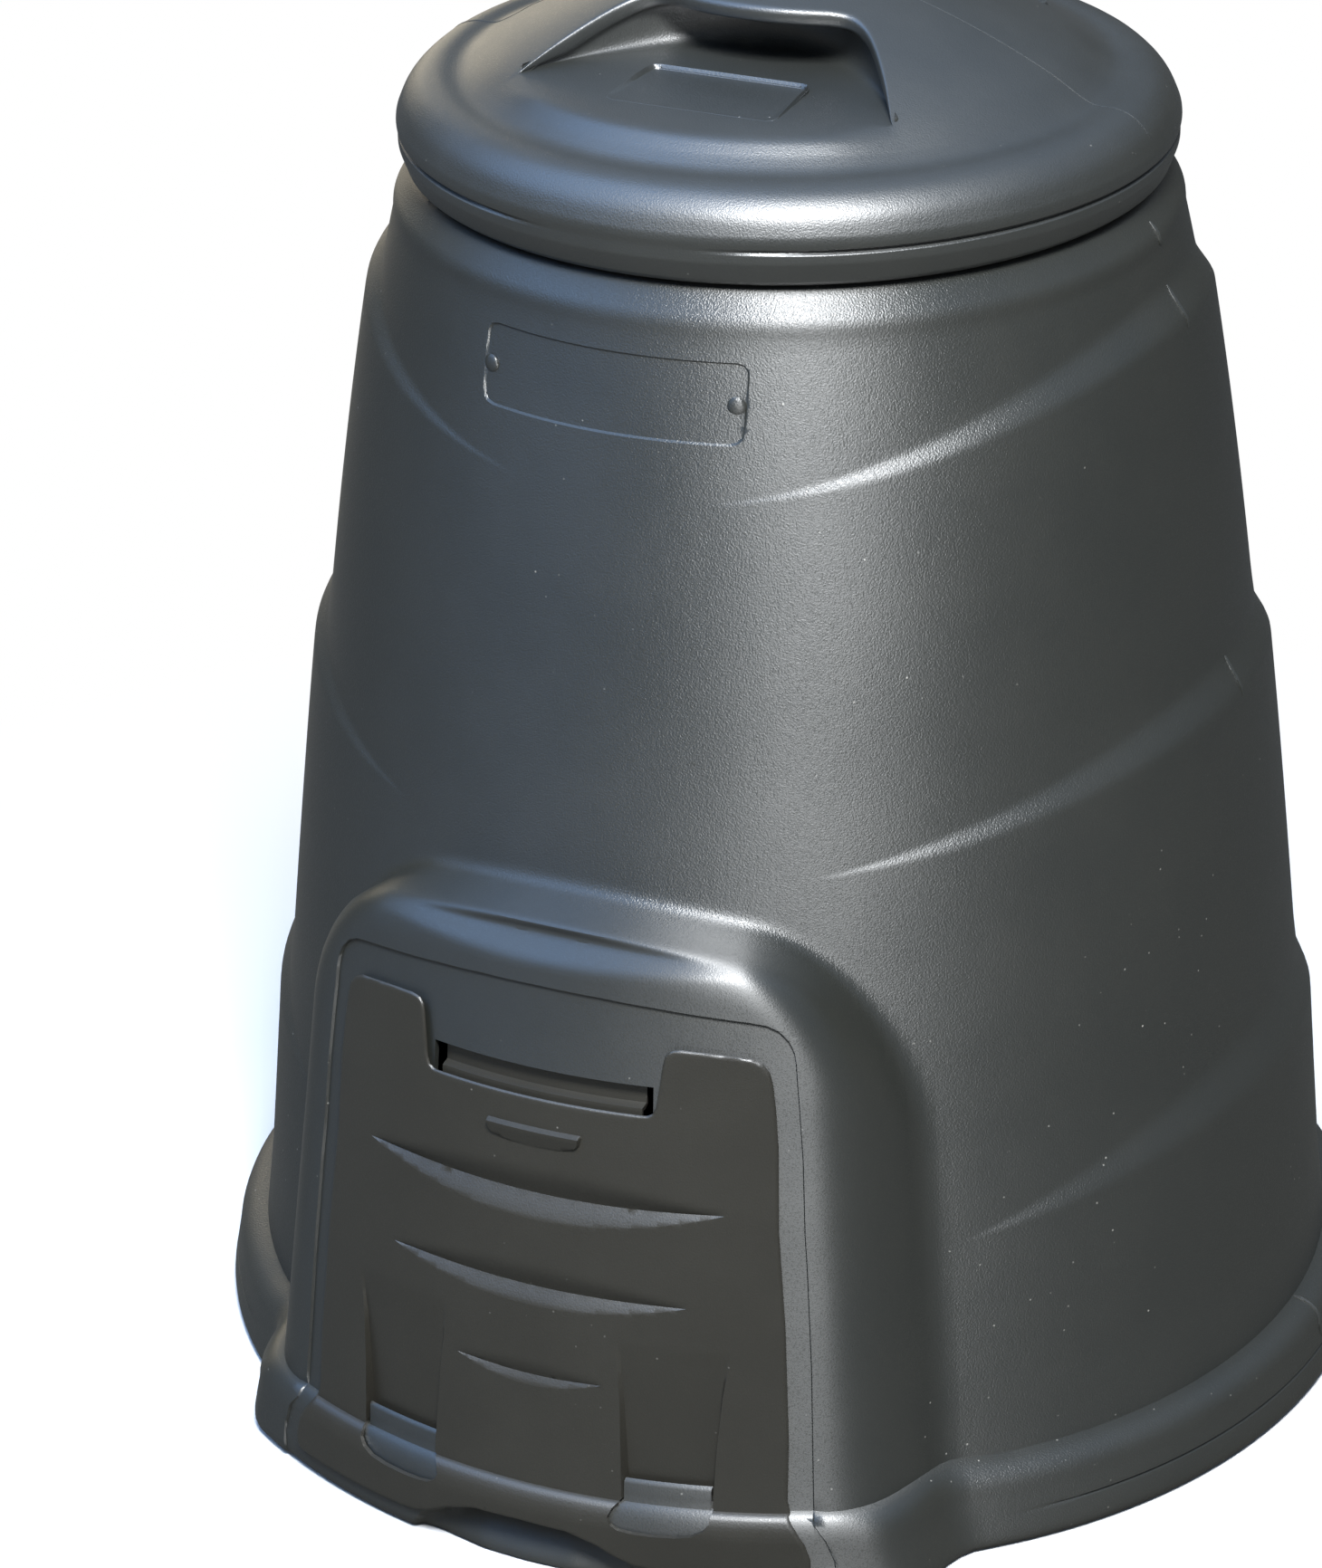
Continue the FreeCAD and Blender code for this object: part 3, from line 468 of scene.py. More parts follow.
def foot_path(angle):
    joint = joint_level(angle)
    start, _ = wall_point(angle, JOINT)
    roll = foot_radius(angle, ROLL_LEVEL)
    path = [(start, joint)]
    for step in range(1, FOOT_TOP_STEPS + 1):
        turn = 0.5 * math.pi * step / FOOT_TOP_STEPS
        drop = (joint - ROLL_LEVEL) * max(0.0, math.cos(turn)) ** ROLL_FULLNESS
        path.append((start + (roll - start) * math.sin(turn) ** ROLL_FULLNESS, ROLL_LEVEL + drop))
    for level in FOOT_LEVELS:
        path.append((foot_radius(angle, level), level))
    for back, level in FOOT_UNDER:
        path.append((foot_radius(angle, level) - back, level))
    return path


SCOOP_DEPTH = 20.0
SCOOP_EDGE = [(0.0, 35.0), (31.0, 34.0), (50.0, 28.5), (62.0, 22.5), (72.0, 17.5), (78.0, 8.0), (80.0, 0.0)]


def scoop_depth(x, level):
    edge = read_table(SCOOP_EDGE, abs(x))
    if abs(x) >= 80.0 or level >= edge:
        return 0.0
    across = max(0.0, 1.0 - (x / 80.0) ** 2) ** 0.6
    below = edge - level
    return SCOOP_DEPTH * across * ease(below, 0.0, 7.0) * (1.0 - 0.92 * ramp(below, 6.0, 34.0))


# The hatch opening and its rebate.

REBATE = both_sides([
    (0.0, -40.0), (191.0, -40.0), (190.5, 12.0), (189.0, 28.0), (184.0, 42.0), (177.0, 52.0), (173.7, 60.0),
    (168.5, 153.0), (163.6, 215.0), (161.4, 238.0), (158.4, 285.0), (155.3, 316.0), (153.2, 335.0),
    (152.2, 346.0), (150.6, 354.0), (147.2, 361.0), (142.0, 366.8), (135.0, 370.4), (126.0, 372.0),
    (105.0, 374.2), (72.0, 377.2), (38.0, 379.3), (0.0, 380.0),
])
OPENING = both_sides([
    (0.0, 61.0), (153.5, 61.0), (152.5, 105.0), (147.5, 180.0), (141.5, 241.0), (139.5, 285.0),
    (138.0, 292.0), (134.0, 299.0), (128.0, 301.0), (73.0, 301.0), (72.5, 326.5), (0.0, 326.5),
])
LABEL = Outline([
    (-4.5, 688.5), (72.5, 688.5), (77.0, 689.7), (79.7, 692.7), (80.5, 697.0),
    (80.5, 727.5), (79.7, 731.8), (77.0, 734.8), (72.5, 736.0), (-4.5, 736.0),
    (-81.5, 736.0), (-86.0, 734.8), (-88.7, 731.8), (-89.5, 727.5),
    (-89.5, 697.0), (-88.7, 692.7), (-86.0, 689.7), (-81.5, 688.5),
])
LABEL_DEPTH = 1.1
RIVETS = [-85.0, 74.6]
RIVET_LEVEL = 711.5


def face_chart(x, z):
    """A point of the front view on the surround's face, laid on the flat chart."""
    if z < JOINT:
        return math.asin(x / foot_radius(0.0, max(z, 0.0))) * FLAT_RADIUS, foot_chart_level(z)
    stretch = SURROUND_LIFT / (LIFT_FULL - JOINT)
    level = (z + stretch * JOINT) / (1.0 + stretch)
    if level > LIFT_FULL:
        level = z - SURROUND_LIFT
    return math.asin(x / face_radius(z)) * FLAT_RADIUS, level


def foot_chart_level(z):
    path = foot_path(0.0)
    for step in range(len(path) - 1):
        if path[step][1] >= z >= path[step + 1][1] and path[step][1] > path[step + 1][1]:
            share = (path[step][1] - z) / (path[step][1] - path[step + 1][1])
            return JOINT - FOOT_STEP * (step + share)
    return JOINT - FOOT_STEP * (len(path) - 1)


def finely(points, longest):
    """The same line with its long runs divided."""
    result = []
    count = len(points)
    for i in range(count):
        (ax, az), (bx, bz) = points[i], points[(i + 1) % count]
        steps = max(1, int(math.hypot(bx - ax, bz - az) / longest + 0.999))
        for step in range(steps):
            result.append((blend(ax, bx, step / steps), blend(az, bz, step / steps)))
    return result


def body_point(across, level):
    """Where one place of the flat chart lies in space, in millimetres about the axis."""
    angle = across / FLAT_RADIUS
    if level < JOINT:
        place = (JOINT - level) / FOOT_STEP
        path = foot_paths.get(round(across, 3))
        if path is None:
            path = foot_path(angle)
            foot_paths[round(across, 3)] = path
        index = min(int(place), len(path) - 2)
        share = place - index
        radius = blend(path[index][0], path[index + 1][0], share)
        height = blend(path[index][1], path[index + 1][1], share)
    elif level <= WALL_TOP:
        radius, height = wall_point(angle, level)
    else:
        place = (level - WALL_TOP) / SHOULDER_STEP
        index = min(int(place), len(shoulder) - 2)
        radius, height = shoulder[index].lerp(shoulder[index + 1], place - index)
    x = radius * math.sin(angle)
    if abs(angle) < REBATE_ANGLE and height < 400.0:
        inside = REBATE.distance(x, height)
        if inside > 0.0:
            step = blend(1.5, REBATE_STEP, ramp(height, 50.0, 62.0))
            radius -= step * ramp(inside, 0.0, REBATE_SLOPE)
        if height < 36.0:
            radius -= scoop_depth(x, height)
    elif abs(angle) < LABEL_ANGLE and 680.0 < height < 745.0:
        radius -= LABEL_DEPTH * ramp(LABEL.distance(x, height), 0.0, LABEL_SLOPE)
    return Vector((radius * math.sin(angle), -radius * math.cos(angle), height))


REBATE_ANGLE = 0.62
LABEL_ANGLE = 0.45
foot_paths = {}
shoulder = rounded(
    [(241.0, 748.0), (240.4, 758.5), (228.0, 773.0), (215.6, 777.6), (215.0, 822.0), (211.0, 822.0)],
    [14.0, 14.0, 3.0, 1.2], arc_steps=5, run_steps=2,
)
SHOULDER_STEP = 6.0

COLUMNS = 228
# how strongly the columns crowd toward the front
FRONT_CROWD = 0.62
# rows between one ledge edge and the next, from the foot up
ROW_RUNS = [30, 8, 78, 8, 21, 8, 9]


def level_rows(angle):
    """Heights on the chart of the wall's rows at one angle; the bands follow the ledges."""
    marks = [JOINT]
    for ledge in LEDGES:
        lower, upper = ledge_edges(ledge, angle)
        marks += [lower - 4.0, upper + 4.0]
    marks.append(WALL_TOP)
    rows = []
    for count, low, high in zip(ROW_RUNS, marks, marks[1:]):
        rows += [blend(low, high, step / count) for step in range(count)]
    rows.append(WALL_TOP)
    return rows


def flat_body():
    wall_rows = sum(ROW_RUNS)
    shoulder_rows = len(shoulder) - 1
    mesh = flat_sheet(COLUMNS, FOOT_ROWS + wall_rows + shoulder_rows)
    columns, rows = grid_counts(mesh)
    tables = {}
    for vert in mesh.verts:
        column = round(vert.co.x * columns)
        row = round(vert.co.y * rows)
        turn = 2.0 * math.pi * column / columns - math.pi
        angle = turn - FRONT_CROWD * math.sin(turn)
        if column not in tables:
            tables[column] = level_rows(angle)
        if row < FOOT_ROWS:
            level = JOINT - FOOT_STEP * (FOOT_ROWS - row)
        elif row <= FOOT_ROWS + wall_rows:
            level = tables[column][row - FOOT_ROWS]
        else:
            level = WALL_TOP + SHOULDER_STEP * (row - FOOT_ROWS - wall_rows)
        vert.co = (angle * FLAT_RADIUS, 0.0, level)
    return mesh


def make_body(material):
    mesh = flat_body()
    for gap in (0.0, 1.0):
        line = finely(REBATE.moved_in(gap * REBATE_SLOPE).points, 30.0)
        line = [face_chart(x, z) for x, z in line if z > -30.0]
        cut_along(mesh, line, closed=False, reach=4.6)
        label = LABEL.moved_in(gap * LABEL_SLOPE).points
        label = [(math.asin(x / wall_radius(z)) * FLAT_RADIUS, z) for x, z in finely(label, 20.0)]
        cut_along(mesh, label, reach=9.0)
    opening = [face_chart(x, z) for x, z in finely(OPENING.points, 30.0)]
    cut_along(mesh, opening, reach=4.6)
    scoop = [face_chart(x, z) for x, z in SCOOP_EDGE]
    scoop = [(-x, z) for x, z in reversed(scoop)] + scoop[1:]
    cut_along(mesh, scoop, closed=False, reach=5.0)
    hole = Outline(opening)
    drop_faces(mesh, lambda middle: abs(middle.x) < 180.0 and 50.0 < middle.z < 345.0
               and hole.distance(middle.x, middle.z) > 0.0)
    for vert in mesh.verts:
        vert.co = body_point(vert.co.x, vert.co.z)
    bmesh.ops.remove_doubles(mesh, verts=mesh.verts, dist=0.01)
    mesh = thickened(mesh, WALL)
    for across in RIVETS:
        rivet = bmesh.ops.create_uvsphere(mesh, u_segments=20, v_segments=12, radius=5.6)["verts"]
        wall = wall_radius(RIVET_LEVEL)
        turned = Matrix.Rotation(math.asin(across / wall), 4, "Z")
        flattened = Matrix.Diagonal((1.0, 0.36, 1.0, 1.0))
        place = turned @ Matrix.Translation((0.0, 0.9 - wall, RIVET_LEVEL)) @ flattened
        bmesh.ops.transform(mesh, verts=rivet, matrix=place)
    for side in (-1.0, 1.0):
        join_into(mesh, tongue(side))
        angle = side * math.pi / 2.0
        flash = [[body_point(angle * FLAT_RADIUS, level) for level in levels] for levels in (
            [JOINT - FOOT_STEP * step for step in (0.2, 1, 2, 3, 4, 5, 6, 7, 8, 9)],
            [JOINT - FOOT_STEP * step for step in (13.5, 14, 15, 16, 17, 18)],
            [WALL_TOP + SHOULDER_STEP * step for step in (1.5, 2, 3, 4, 5, 6, 7, 8)],
            [703.0, 708.0, 713.0, 718.0, 723.0, 728.0],
            [470.0, 475.0, 480.0, 485.0, 490.0, 494.0],
        )]
        for path in flash:
            ridge_line(mesh, path, width=1.7, height=1.3)
    return finished_piece("bin_body", mesh, material, "body", "body")


# level and distance from the axis of a tongue's face, from its foot up to its rounded top edge
TONGUE = [
    (41.0, 403.4), (46.0, 402.4), (51.0, 399.5), (56.0, 396.8), (63.0, 396.2), (69.4, 395.8),
    (70.5, 395.4), (71.4, 394.5), (72.0, 393.4),
]


def tongue(side):
    """An upright tongue that holds the door's foot."""
    mesh = front_sheet(14, len(TONGUE) - 1, (0.0, 1.0), (0.0, 1.0))
    for vert in mesh.verts:
        x = side * blend(64.0, 116.0, vert.co.x if side > 0 else 1.0 - vert.co.x)
        place = vert.co.z * (len(TONGUE) - 1)
        index = min(int(place + 1e-4), len(TONGUE) - 2)
        z = blend(TONGUE[index][0], TONGUE[index + 1][0], place - index)
        vert.co = bent(x, read_table(TONGUE, z), z)
    return thickened(mesh, 3.0)


# The lid.

LID_TOP = 900.0
FLOOR_EDGE = 171.0
GRIP_HALF = 120.5
LID_COLUMNS = 140
# half breadth and distance from the lid's middle of the scoop's overhanging edge and of its inner wall
ARCH = [
    (0.0, 67.0), (20.0, 65.0), (38.0, 59.5), (52.0, 53.0), (62.0, 50.5), (71.0, 54.0), (80.0, 62.0),
    (91.0, 76.0), (105.5, 97.5), (120.5, 121.3),
]
INNER_WALL = [
    (0.0, 10.0), (20.0, 12.0), (44.0, 22.0), (69.0, 42.0), (95.0, 72.0), (110.0, 94.0), (120.5, 114.0),
]


def lid_height(radius):
    eased = math.hypot(radius, 12.0) - 12.0
    return LID_TOP - 0.0968 * eased - 0.001232 * radius * radius


GRIP_FLOOR = lid_height(FLOOR_EDGE)


def read_curve(table, key):
    """A smooth line through the listed pairs, the same on both sides of zero."""
    key = min(abs(key), table[-1][0])
    points = [(-table[1][0], table[1][1])] + table
    index = 1
    while index < len(points) - 2 and key > points[index + 1][0]:
        index += 1
    (x0, y0), (x1, y1), (x2, y2) = points[index - 1:index + 2]
    x3, y3 = points[index + 2] if index + 2 < len(points) else (2 * x2 - x1, 2 * y2 - y1)
    span = x2 - x1
    t = (key - x1) / span
    leave = (y2 - y0) / (x2 - x0) * span
    come = (y3 - y1) / (x3 - x1) * span
    return ((2 * t ** 3 - 3 * t * t + 1) * y1 + (t ** 3 - 2 * t * t + t) * leave
            + (3 * t * t - 2 * t ** 3) * y2 + (t ** 3 - t * t) * come)


RIDGE_STEPS = 12
# breadth of the ridge's crown as a share of the breadth of its edge
CROWN_SHARE = 0.78


def scoop_section(x):
    """(y, z) points from the ridge's crown through the hand scoop to the outer edge of its floor."""
    edge_y = -read_curve(ARCH, x)
    back_y = max(-read_curve(INNER_WALL, x), edge_y)
    edge_z = lid_height(math.hypot(x, edge_y))
    height = max(0.0, edge_z - GRIP_FLOOR)
    back_y = blend(edge_y, back_y, ramp(height, 0.0, 9.0))
    hang = ramp(back_y - edge_y, 0.0, 9.0) * ramp(height, 0.0, 12.0)
    lip = min(9.5, 0.6 * height)
    under = edge_z - lip - 2.0 * hang
    out_y = -math.sqrt(FLOOR_EDGE ** 2 - x * x)
    on_ridge = edge_y + 11.0 * ramp(height, 0.0, 16.0)
    points = [
        (on_ridge, lid_height(math.hypot(x, on_ridge))),
        (edge_y, edge_z),
        (edge_y + 0.9 * hang, edge_z - lip),
        (back_y, under - 0.5 * (1.0 - hang) * ramp(height, 0.0, 6.0)),
        (back_y - 1.5 * ramp(height, 0.0, 10.0), GRIP_FLOOR),
        (out_y, GRIP_FLOOR),
    ]
    return rounded(points, [11.0, 5.0, 9.0, 20.0], arc_steps=5, run_steps=3)


def rim_path(angle):
    """(radius, z) points of the lid outside the scoops, over the roll and under the rim."""
    away = abs(angle)
    groove = 3.2 * ease(math.degrees(away), 8.0, 34.0) + 0.25
    swell = 3.4 * ease(math.degrees(away), 46.0, 30.0)
    points = [
        (FLOOR_EDGE, GRIP_FLOOR), (179.0, 843.6 + swell), (187.5, 838.3 + 0.4 * swell), (197.5, 832.9),
        (210.5, 833.4), (221.5, 830.4), (231.8, 820.8), (236.9, 808.5), (237.2, 805.0),
        (236.6, 801.8), (236.6 - groove, 800.0), (236.3, 798.2), (236.3, 793.0), (231.6, 780.4),
        (226.5, 776.8), (222.5, 779.0),
    ]
    radii = [40.0, 40.0, 22.0, 30.0, 30.0, 30.0, 30.0, 9.0, 1.2, 0.7, 1.2, 7.0, 4.5, 2.0]
    return rounded(points, radii, arc_steps=4, run_steps=1)


def lid_half():
    section_count = len(scoop_section(0.0))
    rim_count = len(rim_path(0.0))
    rows = RIDGE_STEPS + section_count - 1 + rim_count - 1
    mesh = flat_sheet(LID_COLUMNS, rows)
    columns, high = grid_counts(mesh)
    corner = math.asin((GRIP_HALF + 0.3) / FLOOR_EDGE)
    for vert in mesh.verts:
        column = round(vert.co.x * columns)
        row = high - round(vert.co.y * high)
        angle = math.pi * column / columns - math.pi / 2.0
        x = FLOOR_EDGE * math.sin(angle)
        scooped = abs(angle) < corner
        if scooped:
            section = scoop_section(x)
            boundary = Vector((x, section[0][0]))
            crown = Vector((x * CROWN_SHARE, 0.0))
        else:
            boundary = Vector((x, -FLOOR_EDGE * math.cos(angle)))
            share = (abs(angle) - corner) / (math.pi / 2.0 - corner)
            crown = Vector((math.copysign(blend(CROWN_SHARE * GRIP_HALF, FLOOR_EDGE, share), x), 0.0))
        if row <= RIDGE_STEPS:
            spot = crown.lerp(boundary, row / RIDGE_STEPS)
            height = lid_height(spot.length)
            if scooped and row == RIDGE_STEPS:
                height = section[0][1]
            vert.co = (spot.x, spot.y, height)
        elif row < RIDGE_STEPS + section_count:
            if scooped:
                y, z = section[row - RIDGE_STEPS]
                vert.co = (x, y, z)
            else:
                vert.co = (boundary.x, boundary.y, GRIP_FLOOR)
        else:
            radius, z = rim_path(angle)[min(row - RIDGE_STEPS - section_count + 1, rim_count - 1)]
            vert.co = (radius * math.sin(angle), -radius * math.cos(angle), z)
    return mesh


def make_lid(material):
    mesh = lid_half()
    twin = bmesh.ops.duplicate(mesh, geom=mesh.verts[:] + mesh.edges[:] + mesh.faces[:])["geom"]
    twin_verts = [item for item in twin if isinstance(item, bmesh.types.BMVert)]
    bmesh.ops.scale(mesh, vec=(1.0, -1.0, 1.0), verts=twin_verts)
    bmesh.ops.reverse_faces(mesh, faces=[item for item in twin if isinstance(item, bmesh.types.BMFace)])
    bmesh.ops.remove_doubles(mesh, verts=mesh.verts, dist=0.02)
    bmesh.ops.dissolve_degenerate(mesh, dist=0.01, edges=mesh.edges)
    bmesh.ops.recalc_face_normals(mesh, faces=mesh.faces)
    top = max(mesh.faces, key=lambda face: face.calc_center_median().z)
    if top.normal.z < 0:
        bmesh.ops.reverse_faces(mesh, faces=mesh.faces)
    mesh = thickened(mesh, WALL)
    ring = bmesh.new()
    profile = rounded(
        [(206.0, 824.0), (208.0, 824.0), (208.0, 800.5), (204.0, 800.5), (204.0, 830.0), (206.0, 830.0)],
        [0.2, 1.6, 1.6, 0.2], arc_steps=3, run_steps=1,
    )
    corners = [ring.verts.new((radius, 0.0, z)) for radius, z in profile]
    edges = [ring.edges.new(pair) for pair in zip(corners, corners[1:])]
    bmesh.ops.spin(
        ring, geom=corners + edges, axis=(0.0, 0.0, 1.0), cent=(0.0, 0.0, 0.0), angle=2.0 * math.pi,
        steps=144, use_merge=True,
    )
    bmesh.ops.recalc_face_normals(ring, faces=ring.faces)
    join_into(mesh, ring)
    join_into(mesh, scoop_plate())
    for side in (-1.0, 1.0):
        path = [(side * radius, 0.0, lid_height(radius) - 0.1) for radius in range(84, 176, 8)]
        path += [(side * radius, 0.0, z - 0.1) for radius, z in rim_path(math.pi / 2.0)[1:30]]
        ridge_line(mesh, path, width=0.8, height=0.6)
    return finished_piece("bin_lid", mesh, material, "lid", "lid", sharp_angle=50.0)


def scoop_plate():
    """The bare plate on the scoop's floor; the bead along its back edge dies away toward the rim."""
    outline = Outline([
        (-50.0, -142.0), (50.0, -142.0), (54.0, -139.0), (55.0, -134.0), (52.0, -86.0), (50.5, -81.5),
        (46.0, -80.0), (-46.0, -80.0), (-50.5, -81.5), (-52.0, -86.0), (-55.0, -134.0), (-54.0, -139.0),
    ])
    mesh = front_sheet(28, 16, (-58.0, 58.0), (-146.0, -76.0))
    for gap in (0.0, 0.7, 1.5, 2.6):
        cut_along(mesh, finely(outline.moved_in(gap).points, 20.0), reach=5.0)
    drop_faces(mesh, lambda middle: outline.distance(middle.x, middle.z) < 0.0)
    for vert in mesh.verts:
        x, y = vert.co.x, vert.co.z
        edge = outline.distance(x, y)
        bead = 2.6 * ramp(y, -142.0, -100.0) * min(ramp(edge, 0.0, 0.7), 1.0 - ramp(edge, 0.9, 2.6))
        rise = bead + 0.5 * ramp(y, -142.0, -110.0) * ramp(edge, 0.0, 0.7) + 0.05 - 0.3 * (edge < 0.1)
        vert.co = (x, y, GRIP_FLOOR + rise)
    bmesh.ops.recalc_face_normals(mesh, faces=mesh.faces)
    if mesh.faces[0].normal.z < 0:
        bmesh.ops.reverse_faces(mesh, faces=mesh.faces)
    return thickened(mesh, 2.0)


# The hatch door.

DOOR_WALL = 3.0
# breadth and depth of the rounding along the door's edge
DOOR_ROUND = 1.8
DOOR_ROUND_DEPTH = 1.5
# where the door's foot turns out over the rolled foot, how far out, and how far down until it is upright
WRAP_TOP = 58.2
WRAP_OUT = 9.0
WRAP_DROP = 17.0
DOOR = both_sides([
    (0.0, 35.5), (31.0, 34.6), (50.0, 29.0), (62.0, 22.8), (74.0, 18.2), (86.0, 17.2), (171.0, 17.2),
    (174.5, 18.4), (176.0, 21.5), (175.8, 30.0), (172.6, 41.0), (167.5, 49.5), (161.5, 57.5), (159.4, 66.0),
    (158.5, 105.0), (153.5, 180.0), (147.5, 241.0), (145.0, 295.0), (142.8, 318.0), (140.6, 334.0),
    (138.6, 341.5), (134.5, 347.0), (128.0, 350.2), (105.0, 352.4), (88.0, 353.2), (82.5, 352.0),
    (79.5, 348.6), (78.4, 343.0), (75.4, 316.0), (73.6, 311.6), (70.5, 309.8), (66.0, 309.5), (0.0, 309.5),
])
CUT_OUT = [
    (64.0, 60.0), (59.5, 55.5), (57.5, 50.0), (59.5, 45.6), (64.5, 42.6), (73.0, 41.5), (85.0, 41.3),
    (100.0, 42.2), (109.0, 44.0), (115.5, 47.8), (118.5, 52.5), (118.5, 60.0),
]
CATCH = Outline([
    (30.5, 291.5), (31.4, 290.6), (30.2, 284.6), (27.6, 281.8), (20.0, 279.6), (8.0, 278.4), (-8.0, 278.4),
    (-20.0, 279.6), (-27.6, 281.8), (-30.2, 284.6), (-31.4, 290.6), (-30.5, 291.5),
])
# how far the catch's step stands out, and how broad its edge is
CATCH_HEIGHT = 3.8
CATCH_EDGE = 1.1
# half width, level of the tips, crease in the middle, heights of the lit and of the soft slope, depth
LOUVRES = [
    (117.5, 250.6, 245.6, 13.5, 21.0, 7.0),
    (97.5, 189.2, 186.0, 10.0, 17.0, 5.4),
    (48.0, 132.2, 129.0, 5.6, 10.0, 3.0),
]
# levels and distances from the middle of the channels' two sides
CHANNEL_IN = [(61.0, 63.3), (125.0, 60.0), (163.0, 56.5)]
CHANNEL_OUT = [(59.0, 118.0), (100.0, 119.0), (132.0, 121.0), (164.0, 125.0)]
CHANNEL_SLOPE = 1.6
CHANNEL_TOP = 162.0
CHANNEL_DEPTH = 8.6


def louvre_lines(louvre, steps=14):
    half, tip, middle, lit, soft, _ = louvre
    crease, lower, upper = [], [], []
    for step in range(steps + 1):
        x = blend(-half, half, step / steps)
        bow = 1.0 - (x / half) ** 2
        level = blend(tip, middle, bow)
        crease.append((x, level))
        lower.append((x, level - lit * bow - 0.05))
        upper.append((x, level + soft * bow + 0.05))
    return crease, lower, upper


def louvre_depth(x, z):
    total = 0.0
    for half, tip, middle, lit, soft, depth in LOUVRES:
        if abs(x) >= half:
            continue
        bow = 1.0 - (x / half) ** 2
        level = blend(tip, middle, bow)
        full = depth * bow ** 0.75
        if level - lit * bow < z <= level:
            total += full * ramp(z, level - lit * bow, level) ** 1.15
        elif level < z < level + soft * bow:
            total += full * (1.0 - ease(z, level - 0.35 * soft * bow, level + soft * bow)) / 0.85
    return total


def channel_depth(x, z):
    x = abs(x)
    if z > CHANNEL_TOP or z < 52.0:
        return 0.0
    inner, outer = read_table(CHANNEL_IN, z), read_table(CHANNEL_OUT, z)
    inside = min(x - inner, outer - x)
    return CHANNEL_DEPTH * ramp(CHANNEL_TOP - z, 0.0, 104.0) * ramp(inside, 0.0, CHANNEL_SLOPE)


def door_surface(x, z):
    radius = door_radius(z)
    if z < WRAP_TOP:
        down = ramp(WRAP_TOP - z, 0.0, WRAP_DROP)
        radius = door_radius(WRAP_TOP) + WRAP_OUT * math.sqrt(1.0 - (1.0 - down) ** 2)
    edge = DOOR.distance(x, z)
    inward = 1.0 - ramp(edge, 0.0, DOOR_ROUND)
    radius -= DOOR_ROUND_DEPTH * (1.0 - math.sqrt(1.0 - inward ** 2))
    radius -= louvre_depth(x, z)
    radius -= channel_depth(x, z)
    grip = CATCH.distance(x, z)
    if grip > 0.0:
        radius += CATCH_HEIGHT * ramp(z, 278.0, 290.0) * ramp(grip, 0.0, CATCH_EDGE)
    return radius


def make_door(material):
    mesh = front_sheet(118, 110, (-178.0, 178.0), (15.0, 355.0))
    for gap in (0.0, 0.5, DOOR_ROUND):
        cut_along(mesh, finely(DOOR.moved_in(gap).points, 40.0))
    right_hole = Outline(CUT_OUT)
    left_hole = Outline([(-x, z) for x, z in reversed(CUT_OUT)])
    for hole in (right_hole, left_hole):
        cut_along(mesh, finely(hole.points, 20.0))
    for louvre in LOUVRES:
        crease, lower, upper = louvre_lines(louvre)
        cut_along(mesh, crease, closed=False)
        cut_along(mesh, lower, closed=False)
    for side in (-1.0, 1.0):
        for gap in (0.0, CHANNEL_SLOPE):
            cut_along(mesh, [(side * (x + gap), z) for z, x in CHANNEL_IN], closed=False)
            cut_along(mesh, [(side * (x - gap), z) for z, x in CHANNEL_OUT], closed=False)
    for gap in (0.0, CATCH_EDGE):
        cut_along(mesh, finely(CATCH.moved_in(gap).points, 20.0))
    for level in (58.2, 58.0, 57.5, 56.7, 55.6, 54.2, 51.4, 49.8, 46.2, 43.4):
        cut_along(mesh, [(-178.0, level), (178.0, level)], closed=False)
    drop_faces(mesh, lambda middle: DOOR.distance(middle.x, middle.z) < 0.0)
    drop_faces(mesh, lambda middle: max(
        right_hole.distance(middle.x, middle.z), left_hole.distance(middle.x, middle.z)) > 0.0)
    bmesh.ops.remove_doubles(mesh, verts=mesh.verts, dist=0.02)
    for vert in mesh.verts:
        x, z = vert.co.x, vert.co.z
        vert.co = bent(x, door_surface(x, z), z)
    mesh = thickened(mesh, DOOR_WALL)
    join_into(mesh, door_lip())
    return finished_piece("hatch_door_panel", mesh, material, "hatch_door", "hatch_door")


LIP_HALF = 66.0
# levels between which the lip steps back behind the hanging tab
LIP_BEND = (312.4, 313.4)


def door_lip():
    """The lip that stands behind the body's hanging tab."""
    mesh = front_sheet(34, 24, (-LIP_HALF, LIP_HALF), (296.0, 341.0))
    for level in LIP_BEND:
        cut_along(mesh, [(-LIP_HALF, level), (LIP_HALF, level)], closed=False, reach=3.0)
    for vert in mesh.verts:
        x, z = vert.co.x, vert.co.z
        vert.co = bent(x, door_radius(z) - blend(4.2, 10.2, ramp(z, *LIP_BEND)), z)
    return thickened(mesh, 3.2)


# Shared finishes.

def new_group(name, inputs, outputs):
    group = bpy.data.node_groups.new(name, "ShaderNodeTree")
    for label, kind, value in inputs:
        socket = group.interface.new_socket(name=label, in_out="INPUT", socket_type=kind)
        if value is not None:
            socket.default_value = value
    for label, kind in outputs:
        group.interface.new_socket(name=label, in_out="OUTPUT", socket_type=kind)
    start = group.nodes.new("NodeGroupInput")
    end = group.nodes.new("NodeGroupOutput")
    return group, start, end


def math_node(tree, operation, first, second=None, clamp=False):
    node = tree.nodes.new("ShaderNodeMath")
    node.operation = operation
    node.use_clamp = clamp
    for index, value in enumerate((first, second)):
        if value is None:
            continue
        if isinstance(value, (int, float)):
            node.inputs[index].default_value = value
        else:
            tree.links.new(value, node.inputs[index])
    return node.outputs[0]


